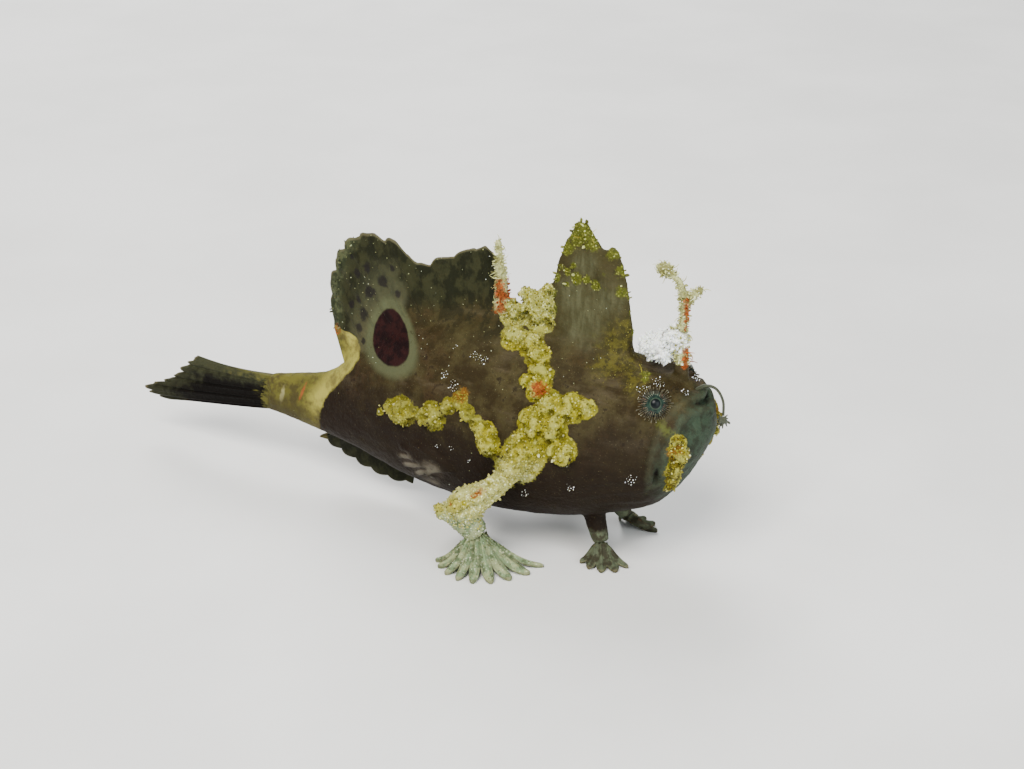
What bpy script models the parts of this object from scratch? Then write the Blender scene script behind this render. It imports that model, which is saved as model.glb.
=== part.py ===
"""A frogfish standing on its hand-like fins, life size, as a still museum model.

X runs from the tail to the mouth, Y to the fish's left and Z up. The floor is at Z = 0.
Sizes are given in millimetres and turned to metres where a shape is placed. Lengthwise they
are counted from the body's deepest point, and MIDDLE moves the frame's origin from there to
the middle of the whole length.
"""
import math
import random

import bmesh
import bpy
from mathutils import Matrix, Vector

MM = 0.001
MIDDLE = -10.5                  # x half way from the tail's tip to the lure
GAP = 0.3                       # between neighbouring pieces
SLIVER = 0.006                  # the shortest edge that a union or a cut leaves
CRUMB = 5.0                     # cubic millimetres; smaller scraps of a cut are left out
BEYOND = 60.0                   # a cutter's size where it only has to reach past the fish

# Body: x, height of the back, height of the belly, half width
BODY = [
    (-25.2, 10.3, 6.4, 1.0), (-22.0, 10.9, 5.9, 1.5), (-19.0, 11.7, 5.4, 2.1), (-16.8, 13.4, 5.0, 2.7),
    (-14.0, 15.8, 4.3, 3.5), (-10.0, 18.4, 3.2, 4.6), (-5.0, 20.2, 2.5, 5.7), (0.0, 20.8, 2.2, 6.4),
    (5.0, 20.3, 2.8, 6.7), (9.0, 19.3, 3.7, 6.5), (12.5, 18.6, 4.9, 6.0), (15.0, 18.3, 6.1, 5.4),
    (17.0, 17.4, 8.5, 4.5), (18.0, 16.3, 10.4, 3.4), (18.7, 15.3, 11.8, 2.2), (19.1, 14.3, 13.1, 0.6),
]
EGG = 0.22                      # how much wider the belly is than the back
RINGS = 2                       # rings from one body station to the next
SIDES = 30

# Swellings of the body: x, height, side distance, reach, rise
BROW = (13.6, 17.9, 2.9, 2.0, 0.9)
CHEEK = (12.3, 12.0, 5.9, 3.6, 0.4)
SHOULDER = (5.6, 12.4, 6.5, 3.2, 0.6)
NAPE_DIP = (14.0, 18.6, 0.0, 1.7, -0.5)
SWELLINGS = (BROW, CHEEK, SHOULDER, NAPE_DIP)

HEAD_CUT = ((3.1, 21.2), (12.0, 3.0))      # x and height, at the nape and at the throat
TAIL_CUT = ((-18.5, 14.0), (-18.9, 3.0))

EYE = (15.0, 16.4)              # x and height
EYE_RADIUS = 1.2
EYE_SINK = 0.3                  # the ball's middle, below the skin
RIM_THICKNESS = 0.34
RIM_OFFSET = 0.25               # of the rim's middle, outward and beyond the ball
RIM_STEPS = 14

# The mouth's line as x and turn about the body, from the corner to the top of the snout
MOUTH = [(15.9, -24), (16.0, -8), (16.2, 10), (16.6, 28), (17.3, 48), (18.0, 68), (18.3, 90)]
LIP_THICKNESS = 0.55
LIP_SPREAD = 0.42               # of each lip from the mouth's line
CLEFT = 0.28
CLEFT_LIFT = 0.3                # away from a point inside the mouth
MOUTH_MIDDLE = (14.0, 0.0, 12.5)

NOSTRIL = (16.3, 62)            # x and turn
NOSTRIL_RADII = [0.45, 0.4, 0.38]
NOSTRIL_LENGTH = 0.55
NOSTRIL_HOLE = [0.18, 0.2, 0.24]

# Wart ridges on each flank: x, height, radius
BAND = [
    (1.3, 19.8, 1.1), (2.9, 19.6, 1.1), (4.0, 18.8, 1.0), (4.7, 17.6, 1.0), (4.9, 16.4, 1.0), (6.2, 15.3, 1.3),
    (8.0, 15.5, 1.2), (9.4, 15.6, 0.8), (5.2, 13.9, 1.4), (6.8, 13.9, 1.2), (7.9, 12.2, 1.2), (4.6, 12.4, 1.2),
]
STREAK = [
    (-10.0, 11.7, 0.7), (-8.5, 11.6, 1.1), (-6.9, 11.9, 0.9), (-5.1, 12.3, 1.1), (-3.6, 13.6, 0.9),
    (-2.5, 14.4, 0.8), (-1.6, 13.4, 0.9), (-0.2, 12.7, 0.8), (1.1, 12.2, 1.0), (1.5, 11.3, 1.1),
]
CHIN_PATCH = [
    (17.3, 13.6, 0.8), (17.6, 12.5, 0.9), (17.3, 11.4, 0.9), (17.1, 10.3, 0.7), (16.7, 9.2, 0.6),
]
# Warts on the midline of the back: x, height, radius
BACK_WARTS = [
    (0.6, 21.0, 1.3), (1.7, 21.9, 1.2), (2.9, 21.2, 1.3), (1.6, 23.0, 0.8), (3.1, 22.7, 0.9), (3.4, 23.8, 0.6),
]
WART_SQUASH = 0.72              # a wart's height to its width
WART_JITTER = 0.18

GILL_PORE = (-6.0, 6.0)         # x and height
PORE_RADIUS = 0.85
PORE_WALL = 0.36
PORE_LENGTH = 1.1
PORE_ROOT = (1.3, 1.0)          # radii inside the body and at the skin
PORE_AIM = (-0.9, 0.0, -0.2)    # added to the skin's outward direction

ARM_PATH = [
    (6.4, 5.2, 13.4), (4.9, 6.7, 11.9), (3.6, 7.7, 9.8), (2.0, 8.5, 7.9), (0.2, 8.9, 6.5), (-0.7, 8.9, 5.4),
    (-0.1, 8.8, 4.2), (0.6, 8.5, 3.2),
]
ARM_RADII = [1.5, 1.4, 1.2, 1.2, 1.6, 1.75, 1.5, 1.2]
WRIST = (0.6, 8.5, 3.2)
WRIST_CUT = (0.15, 8.6, 3.95)
WRIST_LEAN = 25.0               # degrees
WRIST_SLAB = 12.0
ARM_WARTS = [
    (4.5, 7.7, 11.9, 0.9), (3.6, 8.4, 10.3, 0.8), (2.6, 9.1, 8.9, 0.8), (1.2, 9.7, 7.5, 0.9),
    (-0.5, 10.0, 6.5, 1.1), (-2.0, 9.6, 5.6, 1.0),
]
ARM_WART_AXIS = (0.2, 1.0, 0.3)
# Where the fingers of the hand meet the floor: x and side distance, from the hindmost forward
HAND_TIPS = [
    (-3.0, 9.8), (-2.3, 10.7), (-1.2, 11.5), (0.2, 12.0), (1.7, 11.9), (3.2, 11.2), (4.5, 10.0), (5.6, 8.4),
    (6.2, 6.6),
]
HAND_PALM = 1.1                 # half width of the hand where it leaves the wrist

PELVIC_PATH = [(8.6, 1.8, 5.2), (9.3, 2.3, 3.6), (9.9, 2.7, 2.3), (10.2, 2.9, 1.7)]
PELVIC_RADII = [1.0, 0.95, 0.8, 0.7]
PELVIC_TIPS = [(8.8, 4.6), (9.9, 5.3), (11.2, 5.4), (12.4, 4.8), (13.1, 3.6)]
PELVIC_PALM = 0.7
FOOT_HEIGHT = 0.22              # of the rays' middle where they lie on the floor
FOOT_KNEE = 0.32

# Fin rays: where each tip is, as x and height, hindmost first
DORSAL_BASE = (-16.7, -0.9)     # x of the first and last ray's foot
DORSAL_TIPS = [
    (-18.6, 16.2), (-19.1, 18.3), (-19.0, 20.7), (-18.1, 23.4), (-16.7, 25.3), (-14.2, 26.2),
    (-11.6, 25.9), (-9.4, 24.3), (-7.0, 25.1), (-4.8, 26.0), (-2.9, 26.6), (-1.4, 25.3),
]
DORSAL_SPIKE = [(-0.9, 0.0, 20.6), (-1.0, 0.1, 23.4), (-1.3, 0.15, 25.8), (-1.4, 0.2, 27.6)]
DORSAL_SPIKE_RADII = [0.75, 0.6, 0.5, 0.3]
ANAL_BASE = (-17.4, -10.0)
ANAL_TIPS = [
    (-20.4, 4.5), (-19.2, 3.7), (-17.7, 3.0), (-15.9, 2.4), (-14.0, 2.0), (-12.0, 1.7), (-10.3, 1.7),
]
CAUDAL_BASE = (6.7, 10.0)       # heights of the lowest and highest ray at the peduncle
CAUDAL_TIPS = [
    (-39.4, 4.2), (-41.0, 4.5), (-41.5, 5.0), (-40.5, 5.6), (-39.0, 6.2), (-37.8, 7.0), (-36.9, 7.9),
    (-36.0, 8.8), (-35.0, 9.6),
]
TAIL_SWING = 1.6                # of the tail fin's edge to the fish's left
MEMBRANE = 0.25                 # half thickness of a fin between its rays
RAY = 0.48                      # half thickness on a ray
ROOT_SWELL = 0.5                # added to the half thickness at a fin's foot
DORSAL_SWAY = 0.55              # of the back fin's waves to either side
DORSAL_LEAN = 0.5               # of its edge to the fish's left
ANAL_SWAY = 0.3

# Third dorsal spine, a sail: x and height of its edge, hindmost first
SAIL_BASE = (4.4, 11.6)
SAIL_EDGE = [
    (4.0, 24.4), (4.4, 26.8), (5.2, 28.9), (6.4, 30.5), (7.5, 29.4), (8.6, 28.3), (9.6, 28.8), (10.4, 27.6),
    (11.0, 24.2),
]
SAIL_FOOT = 1.3                 # half thickness at the foot
SAIL_TIP = 0.45                 # and at the tip
SAIL_SWAY = 0.35
SAIL_BULGE = 0.5
SAIL_RIB = 0.55                 # added to the half thickness over the spine itself
RIB_PLACE = 0.86                # of the spine across the sail, at its foot
RIB_LEAN = 0.45                 # from there to the tip
RIB_WIDTH = 0.09

SPINE_PATH = [
    (15.9, 0.0, 17.0), (16.1, 0.0, 19.2), (16.0, 0.0, 22.3), (16.1, 0.0, 24.8), (15.5, 0.0, 26.6),
    (13.9, 0.0, 27.7),
]
SPINE_RADII = [0.95, 0.8, 0.65, 0.56, 0.5, 0.4]
SPINE_TWIG = [(15.9, 0.0, 24.2), (16.6, 0.1, 25.6), (17.3, 0.1, 26.3)]
SPINE_TWIG_RADII = [0.5, 0.4, 0.3]
# Lumps of the flap that leans back from the second spine, and its curled tip
SPINE_WARTS = [
    (15.4, 0.0, 21.3, 1.1), (14.4, 0.3, 20.6, 1.2), (13.3, -0.1, 20.3, 1.1), (13.1, 0.2, 19.4, 0.8),
    (14.5, -0.1, 19.7, 0.9), (14.2, 0.0, 27.4, 0.8),
]
LURE_PATH = [(17.0, 0.0, 16.4), (18.1, 0.0, 17.4), (19.2, 0.0, 17.4), (19.9, 0.0, 16.4), (20.0, 0.0, 15.0)]
LURE_RADII = [0.4, 0.34, 0.3, 0.3, 0.3]
LURE_BAIT = (20.0, 0.0, 14.5, 0.5)


def catmull(points, t):
    """The smooth curve through a list of tuples, at t from 0 to 1."""
    last = len(points) - 1
    place = min(max(t, 0.0), 1.0) * last
    i = min(int(place), last - 1)
    f = place - i
    before, here = points[max(i - 1, 0)], points[i]
    after, beyond = points[i + 1], points[min(i + 2, last)]
    return [
        0.5 * (2 * b + (c - a) * f + (2 * a - 5 * b + 4 * c - d) * f * f + (3 * b - a - 3 * c + d) * f ** 3)
        for a, b, c, d in zip(before, here, after, beyond)
    ]


def body_point(t, turn, growth=0.0):
    """The skin at t along the body and at turn degrees about it, 0 on the flank and 90 on the back."""
    x, top, bottom, half = catmull(BODY, t)
    if t <= 0.0:
        x -= growth
    if t >= 1.0:
        x += growth
    a = math.radians(turn)
    out = Vector((0.0, math.cos(a), math.sin(a)))
    height = (top - bottom) / 2 + growth
    y = (half + growth) * out.y * (1 - EGG * out.z)
    point = Vector((x, y, (top + bottom) / 2 + height * out.z))
    for sx, sz, sy, reach, rise in SWELLINGS:
        away = (point - Vector((sx, math.copysign(sy, point.y), sz))).length
        point += out * rise * math.exp(-(away / reach) ** 2)
    return point


def along(x):
    """The t at which the body has this x."""
    low, high = 0.0, 1.0
    for _ in range(30):
        middle = (low + high) / 2
        if catmull(BODY, middle)[0] < x:
            low = middle
        else:
            high = middle
    return low


def skin(x, turn):
    """A point of the skin and its outward direction."""
    t = along(x)
    step = 0.004
    point = body_point(t, turn)
    length = body_point(min(t + step, 1), turn) - body_point(max(t - step, 0), turn)
    girth = body_point(t, turn + 2) - body_point(t, turn - 2)
    return point, girth.cross(length).normalized()


def turn_at(x, z):
    """The turn about the body at which the left flank has this height."""
    _, top, bottom, _ = catmull(BODY, along(x))
    share = (z - (top + bottom) / 2) / ((top - bottom) / 2)
    return math.degrees(math.asin(max(-1.0, min(1.0, share))))


def flank(x, z, side):
    """A point of the flank and its outward direction, on the left for side 1 and on the right for side -1."""
    point, out = skin(x, turn_at(x, z))
    return Vector((point.x, point.y * side, point.z)), Vector((out.x, out.y * side, out.z))


def loft(rings, sides, place):
    """A closed tube. place(i, turn) gives the point of ring i at that turn, from 0 to 1."""
    bm = bmesh.new()
    turn = bm.verts.layers.float.new("turn")
    ring = bmesh.ops.create_circle(bm, cap_ends=True, segments=sides, radius=1.0)["verts"]
    for k, v in enumerate(ring):
        v[turn] = k / sides
        v.co = place(0, v[turn])
    edges = list({e for v in ring for e in v.link_edges})
    for i in range(1, rings):
        made = bmesh.ops.extrude_edge_only(bm, edges=edges)["geom"]
        ring = {g for g in made if isinstance(g, bmesh.types.BMVert)}
        edges = [g for g in made if isinstance(g, bmesh.types.BMEdge) and set(g.verts) <= ring]
        for v in ring:
            v.co = place(i, v[turn])
    bmesh.ops.edgeloop_fill(bm, edges=edges)
    bmesh.ops.recalc_face_normals(bm, faces=bm.faces[:])
    return bm


def tube(path, radii, sides=10, rings=12, growth=0.0):
    """A round, tapering tube through the points of a path."""
    spots = [Vector(catmull(path, i / (rings - 1))) for i in range(rings)]
    widths = [catmull([(r,) for r in radii], i / (rings - 1))[0] + growth for i in range(rings)]
    frames = []
    across = Vector((0.0, 1.0, 0.0))
    for i in range(rings):
        heading = (spots[min(i + 1, rings - 1)] - spots[max(i - 1, 0)]).normalized()
        across = (across - heading * across.dot(heading)).normalized()
        frames.append((across, heading.cross(across)))

    def place(i, turn):
        a = 2 * math.pi * turn
        return spots[i] + (frames[i][0] * math.cos(a) + frames[i][1] * math.sin(a)) * widths[i]

    return loft(rings, sides, place)


def ball(centre, radius):
    bm = bmesh.new()
    bmesh.ops.create_uvsphere(bm, u_segments=14, v_segments=9, radius=radius)
    bmesh.ops.translate(bm, vec=centre, verts=bm.verts[:])
    return bm


def wart(centre, radius, axis=(0.1, 0.2, 1.0)):
    """A rounded lump of few sides, a little flat along its axis."""
    bm = bmesh.new()
    bmesh.ops.create_uvsphere(bm, u_segments=7, v_segments=4, radius=radius)
    bmesh.ops.scale(bm, vec=(1.0, 1.0, WART_SQUASH), verts=bm.verts[:])
    turned = Vector(axis).to_track_quat("Z", "Y").to_matrix().to_4x4()
    bmesh.ops.transform(bm, matrix=turned, verts=bm.verts[:])
    bmesh.ops.translate(bm, vec=centre, verts=bm.verts[:])
    return bm


def plate(columns, rows, place, half_thickness):
    """A closed plate, its two faces split into triangles alike. place(u, v) is its middle surface."""
    bm = bmesh.new()
    bmesh.ops.create_grid(bm, x_segments=columns, y_segments=rows, size=0.5)
    bmesh.ops.triangulate(bm, faces=bm.faces[:])
    face = bmesh.ops.extrude_face_region(bm, geom=bm.faces[:], use_keep_orig=True)["geom"]
    raised = {g for g in face if isinstance(g, bmesh.types.BMVert)}
    step = 0.01
    for v in bm.verts:
        a, b = v.co.x + 0.5, v.co.y + 0.5
        along_u = place(min(a + step, 1), b) - place(max(a - step, 0), b)
        along_v = place(a, min(b + step, 1)) - place(a, max(b - step, 0))
        across = along_u.cross(along_v).normalized()
        v.co = place(a, b) + across * half_thickness(a, b) * (1 if v in raised else -1)
    bmesh.ops.recalc_face_normals(bm, faces=bm.faces[:])
    return bm


def on_ray(u, rays):
    """1 on a fin ray, falling to 0 half way to the next."""
    share = u * (rays - 1)
    return 1 - 2 * abs(share - round(share))


def mesh_object(name, bm, side=1):
    """Puts a shape built in millimetres into the scene, in metres, mirrored to the right for side -1."""
    bmesh.ops.translate(bm, vec=(-MIDDLE, 0.0, 0.0), verts=bm.verts[:])
    bmesh.ops.scale(bm, vec=(MM, MM * side, MM), verts=bm.verts[:])
    if side < 0:
        bmesh.ops.reverse_faces(bm, faces=bm.faces[:])
    mesh = bpy.data.meshes.new(name)
    bm.to_mesh(mesh)
    bm.free()
    obj = bpy.data.objects.new(name, mesh)
    bpy.context.scene.collection.objects.link(obj)
    return obj


def apply_boolean(obj, operation, others):
    """Joins or cuts an object with others, and removes them."""
    group = bpy.data.collections.new("others")
    bpy.context.scene.collection.children.link(group)
    for other in others:
        bpy.context.scene.collection.objects.unlink(other)
        group.objects.link(other)
    modifier = obj.modifiers.new("boolean", "BOOLEAN")
    modifier.operation = operation
    modifier.solver = "MANIFOLD"
    modifier.operand_type = "COLLECTION"
    modifier.collection = group
    graph = bpy.context.evaluated_depsgraph_get()
    mesh = bpy.data.meshes.new_from_object(obj.evaluated_get(graph))
    obj.modifiers.clear()
    old = obj.data
    obj.data = mesh
    bpy.data.meshes.remove(old)
    for other in others:
        bpy.data.objects.remove(other)
    bpy.data.collections.remove(group)


def closed_pieces(bm):
    """The separate surfaces of a mesh, each as a set of faces."""
    left = set(bm.faces)
    pieces = []
    while left:
        stack = [left.pop()]
        piece = set(stack)
        while stack:
            for edge in stack.pop().edges:
                for face in edge.link_faces:
                    if face in left:
                        left.discard(face)
                        piece.add(face)
                        stack.append(face)
        pieces.append(piece)
    return pieces


def size_of(piece):
    """The volume that a set of faces closes in."""
    total = 0.0
    for face in piece:
        a = face.verts[0].co
        for b, c in zip(face.verts[1:-1], face.verts[2:]):
            total += a.dot(b.co.cross(c.co)) / 6
    return abs(total)


def is_crumb(piece):
    return size_of(piece) < CRUMB * MM ** 3


def keep_piece(obj, choose):
    """Keeps the one closed surface of an object for which choose gives the most."""
    bm = bmesh.new()
    bm.from_mesh(obj.data)
    pieces = closed_pieces(bm)
    kept = max(pieces, key=choose)
    bmesh.ops.delete(bm, geom=[f for f in bm.faces if f not in kept], context="FACES")
    bmesh.ops.dissolve_degenerate(bm, dist=SLIVER * MM, edges=bm.edges[:])
    bmesh.ops.triangulate(bm, faces=bm.faces[:])
    bm.to_mesh(obj.data)
    bm.free()


def slab(cut, name):
    """A plate as thin as the gap, through two points given as x and height, that parts the body."""
    (top_x, top_z), (low_x, low_z) = cut
    bm = bmesh.new()
    bmesh.ops.create_cube(bm, size=1.0)
    bmesh.ops.scale(bm, vec=(GAP, BEYOND, BEYOND), verts=bm.verts[:])
    lean = math.atan2(top_x - low_x, top_z - low_z)
    bmesh.ops.rotate(bm, matrix=Matrix.Rotation(lean, 3, "Y"), verts=bm.verts[:])
    bmesh.ops.translate(bm, vec=((top_x + low_x) / 2, 0.0, (top_z + low_z) / 2), verts=bm.verts[:])
    return mesh_object(name, bm)


def below_floor():
    """A block that takes away whatever would reach under the floor."""
    bm = bmesh.new()
    bmesh.ops.create_cube(bm, size=BEYOND)
    bmesh.ops.translate(bm, vec=(0.0, 0.0, -BEYOND / 2), verts=bm.verts[:])
    return mesh_object("below_floor", bm)


def flank_warts(warts, growth, seed):
    """Warts along both flanks, set into the skin, and varied alike on both sides."""
    made = []
    for side in (1, -1):
        draw = random.Random(seed)
        for x, z, radius in warts:
            point, out = flank(x, z, side)
            wide = radius * (1 + draw.uniform(-WART_JITTER, WART_JITTER))
            made.append(mesh_object("wart", wart(point + out * 0.1, wide + growth, out)))
    return made


def back_warts(growth):
    return [mesh_object("wart", wart(Vector((x, 0, z)), r + growth)) for x, z, r in BACK_WARTS]


def mouth_arc(spread):
    """The whole line from the left corner over the snout to the right corner."""
    arc = []
    for side, order in ((1, MOUTH), (-1, MOUTH[-2::-1])):
        for x, turn in order:
            point, out = skin(x - spread, turn)
            arc.append((point.x, point.y * side, point.z))
    return arc


def lips(growth):
    """Upper and lower lip, one on each side of the mouth's line."""
    count = 2 * len(MOUTH) - 1
    radii = [0.3] + [LIP_THICKNESS] * (count - 2) + [0.3]
    return [
        mesh_object("lip", tube(mouth_arc(spread), radii, 6, 20, growth))
        for spread in (LIP_SPREAD, -LIP_SPREAD)
    ]


def mouth_cleft():
    arc = mouth_arc(0.0)
    lifted = [Vector(p) + (Vector(p) - Vector(MOUTH_MIDDLE)).normalized() * CLEFT_LIFT for p in arc]
    return mesh_object("cleft", tube([tuple(p) for p in lifted], [CLEFT] * len(arc), 6, 20))


def nostrils(growth):
    made = []
    for side in (1, -1):
        point, out = skin(*NOSTRIL)
        point, out = Vector((point.x, point.y * side, point.z)), Vector((out.x, out.y * side, out.z))
        path = [tuple(point - out * 0.5), tuple(point + out * 0.1), tuple(point + out * NOSTRIL_LENGTH)]
        made.append(mesh_object("nostril", tube(path, NOSTRIL_RADII, 8, 4, growth)))
    return made


def nostril_holes():
    made = []
    for side in (1, -1):
        point, out = skin(*NOSTRIL)
        point, out = Vector((point.x, point.y * side, point.z)), Vector((out.x, out.y * side, out.z))
        path = [tuple(point + out * share) for share in (0.1, 0.5, 1.0)]
        made.append(mesh_object("hole", tube(path, NOSTRIL_HOLE, 6, 3)))
    return made


def eye_centre(side):
    point, out = flank(*EYE, side)
    return point - out * EYE_SINK, out


def eye_rims(growth):
    """A ring of skin round each eye."""
    made = []
    for side in (1, -1):
        centre, out = eye_centre(side)
        turned = out.to_track_quat("Z", "Y").to_matrix()
        reach = EYE_RADIUS + RIM_OFFSET
        ring = [
            centre + turned @ Vector((reach * math.cos(a), reach * math.sin(a), RIM_OFFSET))
            for a in (2 * math.pi * k / RIM_STEPS for k in range(RIM_STEPS))
        ]

        def place(i, turn, ring=ring, centre=centre, out=out):
            spot = ring[i % RIM_STEPS]
            away = (spot - centre - out * RIM_OFFSET).normalized()
            a = 2 * math.pi * turn
            return spot + (away * math.cos(a) + out * math.sin(a)) * (RIM_THICKNESS + growth)

        made.append(mesh_object("rim", closed_ring(RIM_STEPS, 6, place)))
    return made


def closed_ring(rings, sides, place):
    """A tube that closes on itself."""
    bm = bmesh.new()
    turn = bm.verts.layers.float.new("turn")
    ring = bmesh.ops.create_circle(bm, segments=sides, radius=1.0)["verts"]
    for k, v in enumerate(ring):
        v[turn] = k / sides
        v.co = place(0, v[turn])
    edges = list({e for v in ring for e in v.link_edges})
    for i in range(1, rings + 1):
        made = bmesh.ops.extrude_edge_only(bm, edges=edges)["geom"]
        ring = {g for g in made if isinstance(g, bmesh.types.BMVert)}
        edges = [g for g in made if isinstance(g, bmesh.types.BMEdge) and set(g.verts) <= ring]
        for v in ring:
            v.co = place(i, v[turn])
    bmesh.ops.remove_doubles(bm, verts=bm.verts[:], dist=1e-4)
    bmesh.ops.recalc_face_normals(bm, faces=bm.faces[:])
    return bm


def gill_tubes(growth):
    """The short skin tube of each gill opening, behind the arm."""
    made = []
    for side in (1, -1):
        point, out = flank(*GILL_PORE, side)
        aim = (out + Vector(PORE_AIM)).normalized()
        path = [tuple(point - aim * 1.2), tuple(point), tuple(point + aim * PORE_LENGTH)]
        made.append(mesh_object("pore", tube(path, [*PORE_ROOT, PORE_RADIUS], 10, 5, growth)))
    return made


def gill_holes():
    made = []
    for side in (1, -1):
        point, out = flank(*GILL_PORE, side)
        aim = (out + Vector(PORE_AIM)).normalized()
        path = [tuple(point + aim * 0.1), tuple(point + aim * 0.8), tuple(point + aim * (PORE_LENGTH + 0.6))]
        made.append(mesh_object("hole", tube(path, [0.3, 0.5, PORE_RADIUS - PORE_WALL + 0.1], 10, 5)))
    return made


def whole_body(name, growth=0.0):
    """The body in one piece with its warts, lips, rims and gill tubes, grown by as much as a cutter needs."""
    rings = (len(BODY) - 1) * RINGS + 1
    shape = loft(rings, SIDES, lambda i, turn: body_point(i / (rings - 1), 360 * turn, growth))
    body = mesh_object(name, shape)
    added = flank_warts(BAND, growth, 1) + flank_warts(STREAK, growth, 2) + flank_warts(CHIN_PATCH, growth, 3)
    added += back_warts(growth) + lips(growth) + nostrils(growth) + eye_rims(growth) + gill_tubes(growth)
    apply_boolean(body, "UNION", added)
    keep_piece(body, size_of)
    return body


def cut_by_body(obj):
    """Shapes a root to the skin that it grows from, a gap clear of it."""
    apply_boolean(obj, "DIFFERENCE", [whole_body("skin_cutter", GAP)])
    keep_piece(obj, size_of)


def make_body(skin_colour, pale_colour):
    """The body's three lengths, parted by thin cuts."""
    body = whole_body("torso")
    cutters = [mouth_cleft()] + nostril_holes() + gill_holes()
    for side in (1, -1):
        centre, _ = eye_centre(side)
        cutters.append(mesh_object("socket", ball(centre, EYE_RADIUS + GAP)))
    apply_boolean(body, "DIFFERENCE", cutters)
    apply_boolean(body, "DIFFERENCE", [slab(HEAD_CUT, "head_slab"), slab(TAIL_CUT, "tail_slab")])

    def middle(piece):
        return sum(f.calc_center_median().x for f in piece) / len(piece)

    for name, colour in (("head", skin_colour), ("tail_peduncle", pale_colour)):
        part = body.copy()
        part.data = body.data.copy()
        part.name = name
        bpy.context.scene.collection.objects.link(part)
        sign = 1 if name == "head" else -1
        keep_piece(part, lambda piece, sign=sign: sign * middle(piece) if not is_crumb(piece) else -1.0)
        finish(part, colour)
    keep_piece(body, size_of)
    finish(body, skin_colour)


def make_eyes(colour):
    for side, name in ((1, "eye_left"), (-1, "eye_right")):
        centre, _ = eye_centre(side)
        finish(mesh_object(name, ball(centre, EYE_RADIUS)), colour)


def fin(name, feet, tips, sway, swell=ROOT_SWELL, notch=0.05, extra=()):
    """A fin whose rays run from feet to tips, with membrane between. sway(u, v) bends it sideways."""
    rays = len(tips)

    def place(u, v):
        foot = Vector(feet(u))
        tip = catmull(tips, u)
        reach = v * (1 - notch * (1 - on_ray(u, rays)))
        x = foot.x + (tip[0] - foot.x) * reach
        z = foot.y + (tip[1] - foot.y) * reach
        return Vector((x, sway(u, v), z))

    def half(u, v):
        ridge = (RAY - MEMBRANE) * max(0.0, 2 * on_ray(u, rays) - 1) * (1 - 0.6 * v)
        return MEMBRANE + ridge + swell * (1 - v) ** 3

    obj = mesh_object(name, plate(3 * (rays - 1), 6, place, half))
    if extra:
        apply_boolean(obj, "UNION", list(extra))
        keep_piece(obj, size_of)
    return obj


def back_height(x):
    return catmull(BODY, along(x))[1]


def belly_height(x):
    return catmull(BODY, along(x))[2]


def make_fins(skin_colour, tail_colour):
    first, last = DORSAL_BASE
    spike = mesh_object("spike", tube(DORSAL_SPIKE, DORSAL_SPIKE_RADII, 8, 8))
    dorsal = fin(
        "soft_dorsal_fin",
        lambda u: (first + (last - first) * u, back_height(first + (last - first) * u) - 1.2),
        DORSAL_TIPS,
        lambda u, v: DORSAL_SWAY * v * math.sin(7.0 * u + 0.5) + DORSAL_LEAN * v * v,
        extra=[spike],
    )
    cut_by_body(dorsal)
    finish(dorsal, skin_colour)

    rear, front = ANAL_BASE
    anal = fin(
        "anal_fin",
        lambda u: (rear + (front - rear) * u, belly_height(rear + (front - rear) * u) + 0.9),
        ANAL_TIPS,
        lambda u, v: ANAL_SWAY * v * math.sin(6.0 * u),
        swell=0.3,
    )
    cut_by_body(anal)
    finish(anal, skin_colour)

    low, high = CAUDAL_BASE
    caudal = fin(
        "caudal_fin",
        lambda u: (BODY[0][0] - GAP, low + (high - low) * u),
        CAUDAL_TIPS,
        lambda u, v: TAIL_SWING * v * v,
        swell=0.35, notch=0.03,
    )
    finish(caudal, tail_colour)


def make_sail(colour):
    """The third dorsal spine with the thick skin behind it."""
    rear, front = SAIL_BASE

    def place(u, v):
        x = rear + (front - rear) * u
        tip = catmull(SAIL_EDGE, u)
        z = back_height(x) - 1.3
        bulge = -SAIL_BULGE * math.sin(math.pi * v) * (0.5 - u)
        return Vector((x + (tip[0] - x) * v + bulge, SAIL_SWAY * v * math.sin(5.0 * u), z + (tip[1] - z) * v))

    def half(u, v):
        edge = math.sin(math.pi * u) ** 0.5 if 0 < u < 1 else 0.0
        body = SAIL_FOOT * (1 - v) + SAIL_TIP * v
        rib_at = RIB_PLACE - RIB_LEAN * v ** 3
        rib = SAIL_RIB * math.exp(-((u - rib_at) / RIB_WIDTH) ** 2) * (1 - 0.5 * v)
        return max(0.28, (body + rib) * (0.35 + 0.65 * edge) * (1 - 0.35 * v ** 6))

    sail = mesh_object("third_dorsal_spine", plate(16, 9, place, half))
    cut_by_body(sail)
    finish(sail, colour)


def make_second_spine(colour):
    spine = mesh_object("second_dorsal_spine", tube(SPINE_PATH, SPINE_RADII, 10, 14))
    parts = [mesh_object("twig", tube(SPINE_TWIG, SPINE_TWIG_RADII, 8, 5))]
    parts += [mesh_object("wart", wart(Vector((x, y, z)), r)) for x, y, z, r in SPINE_WARTS]
    apply_boolean(spine, "UNION", parts)
    cut_by_body(spine)
    finish(spine, colour)


def make_lure(colour):
    """The first dorsal spine, a short thread with a small bait."""
    lure = mesh_object("illicium", tube(LURE_PATH, LURE_RADII, 8, 14))
    x, y, z, r = LURE_BAIT
    apply_boolean(lure, "UNION", [mesh_object("bait", wart(Vector((x, y, z)), r))])
    cut_by_body(lure)
    finish(lure, colour)


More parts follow.
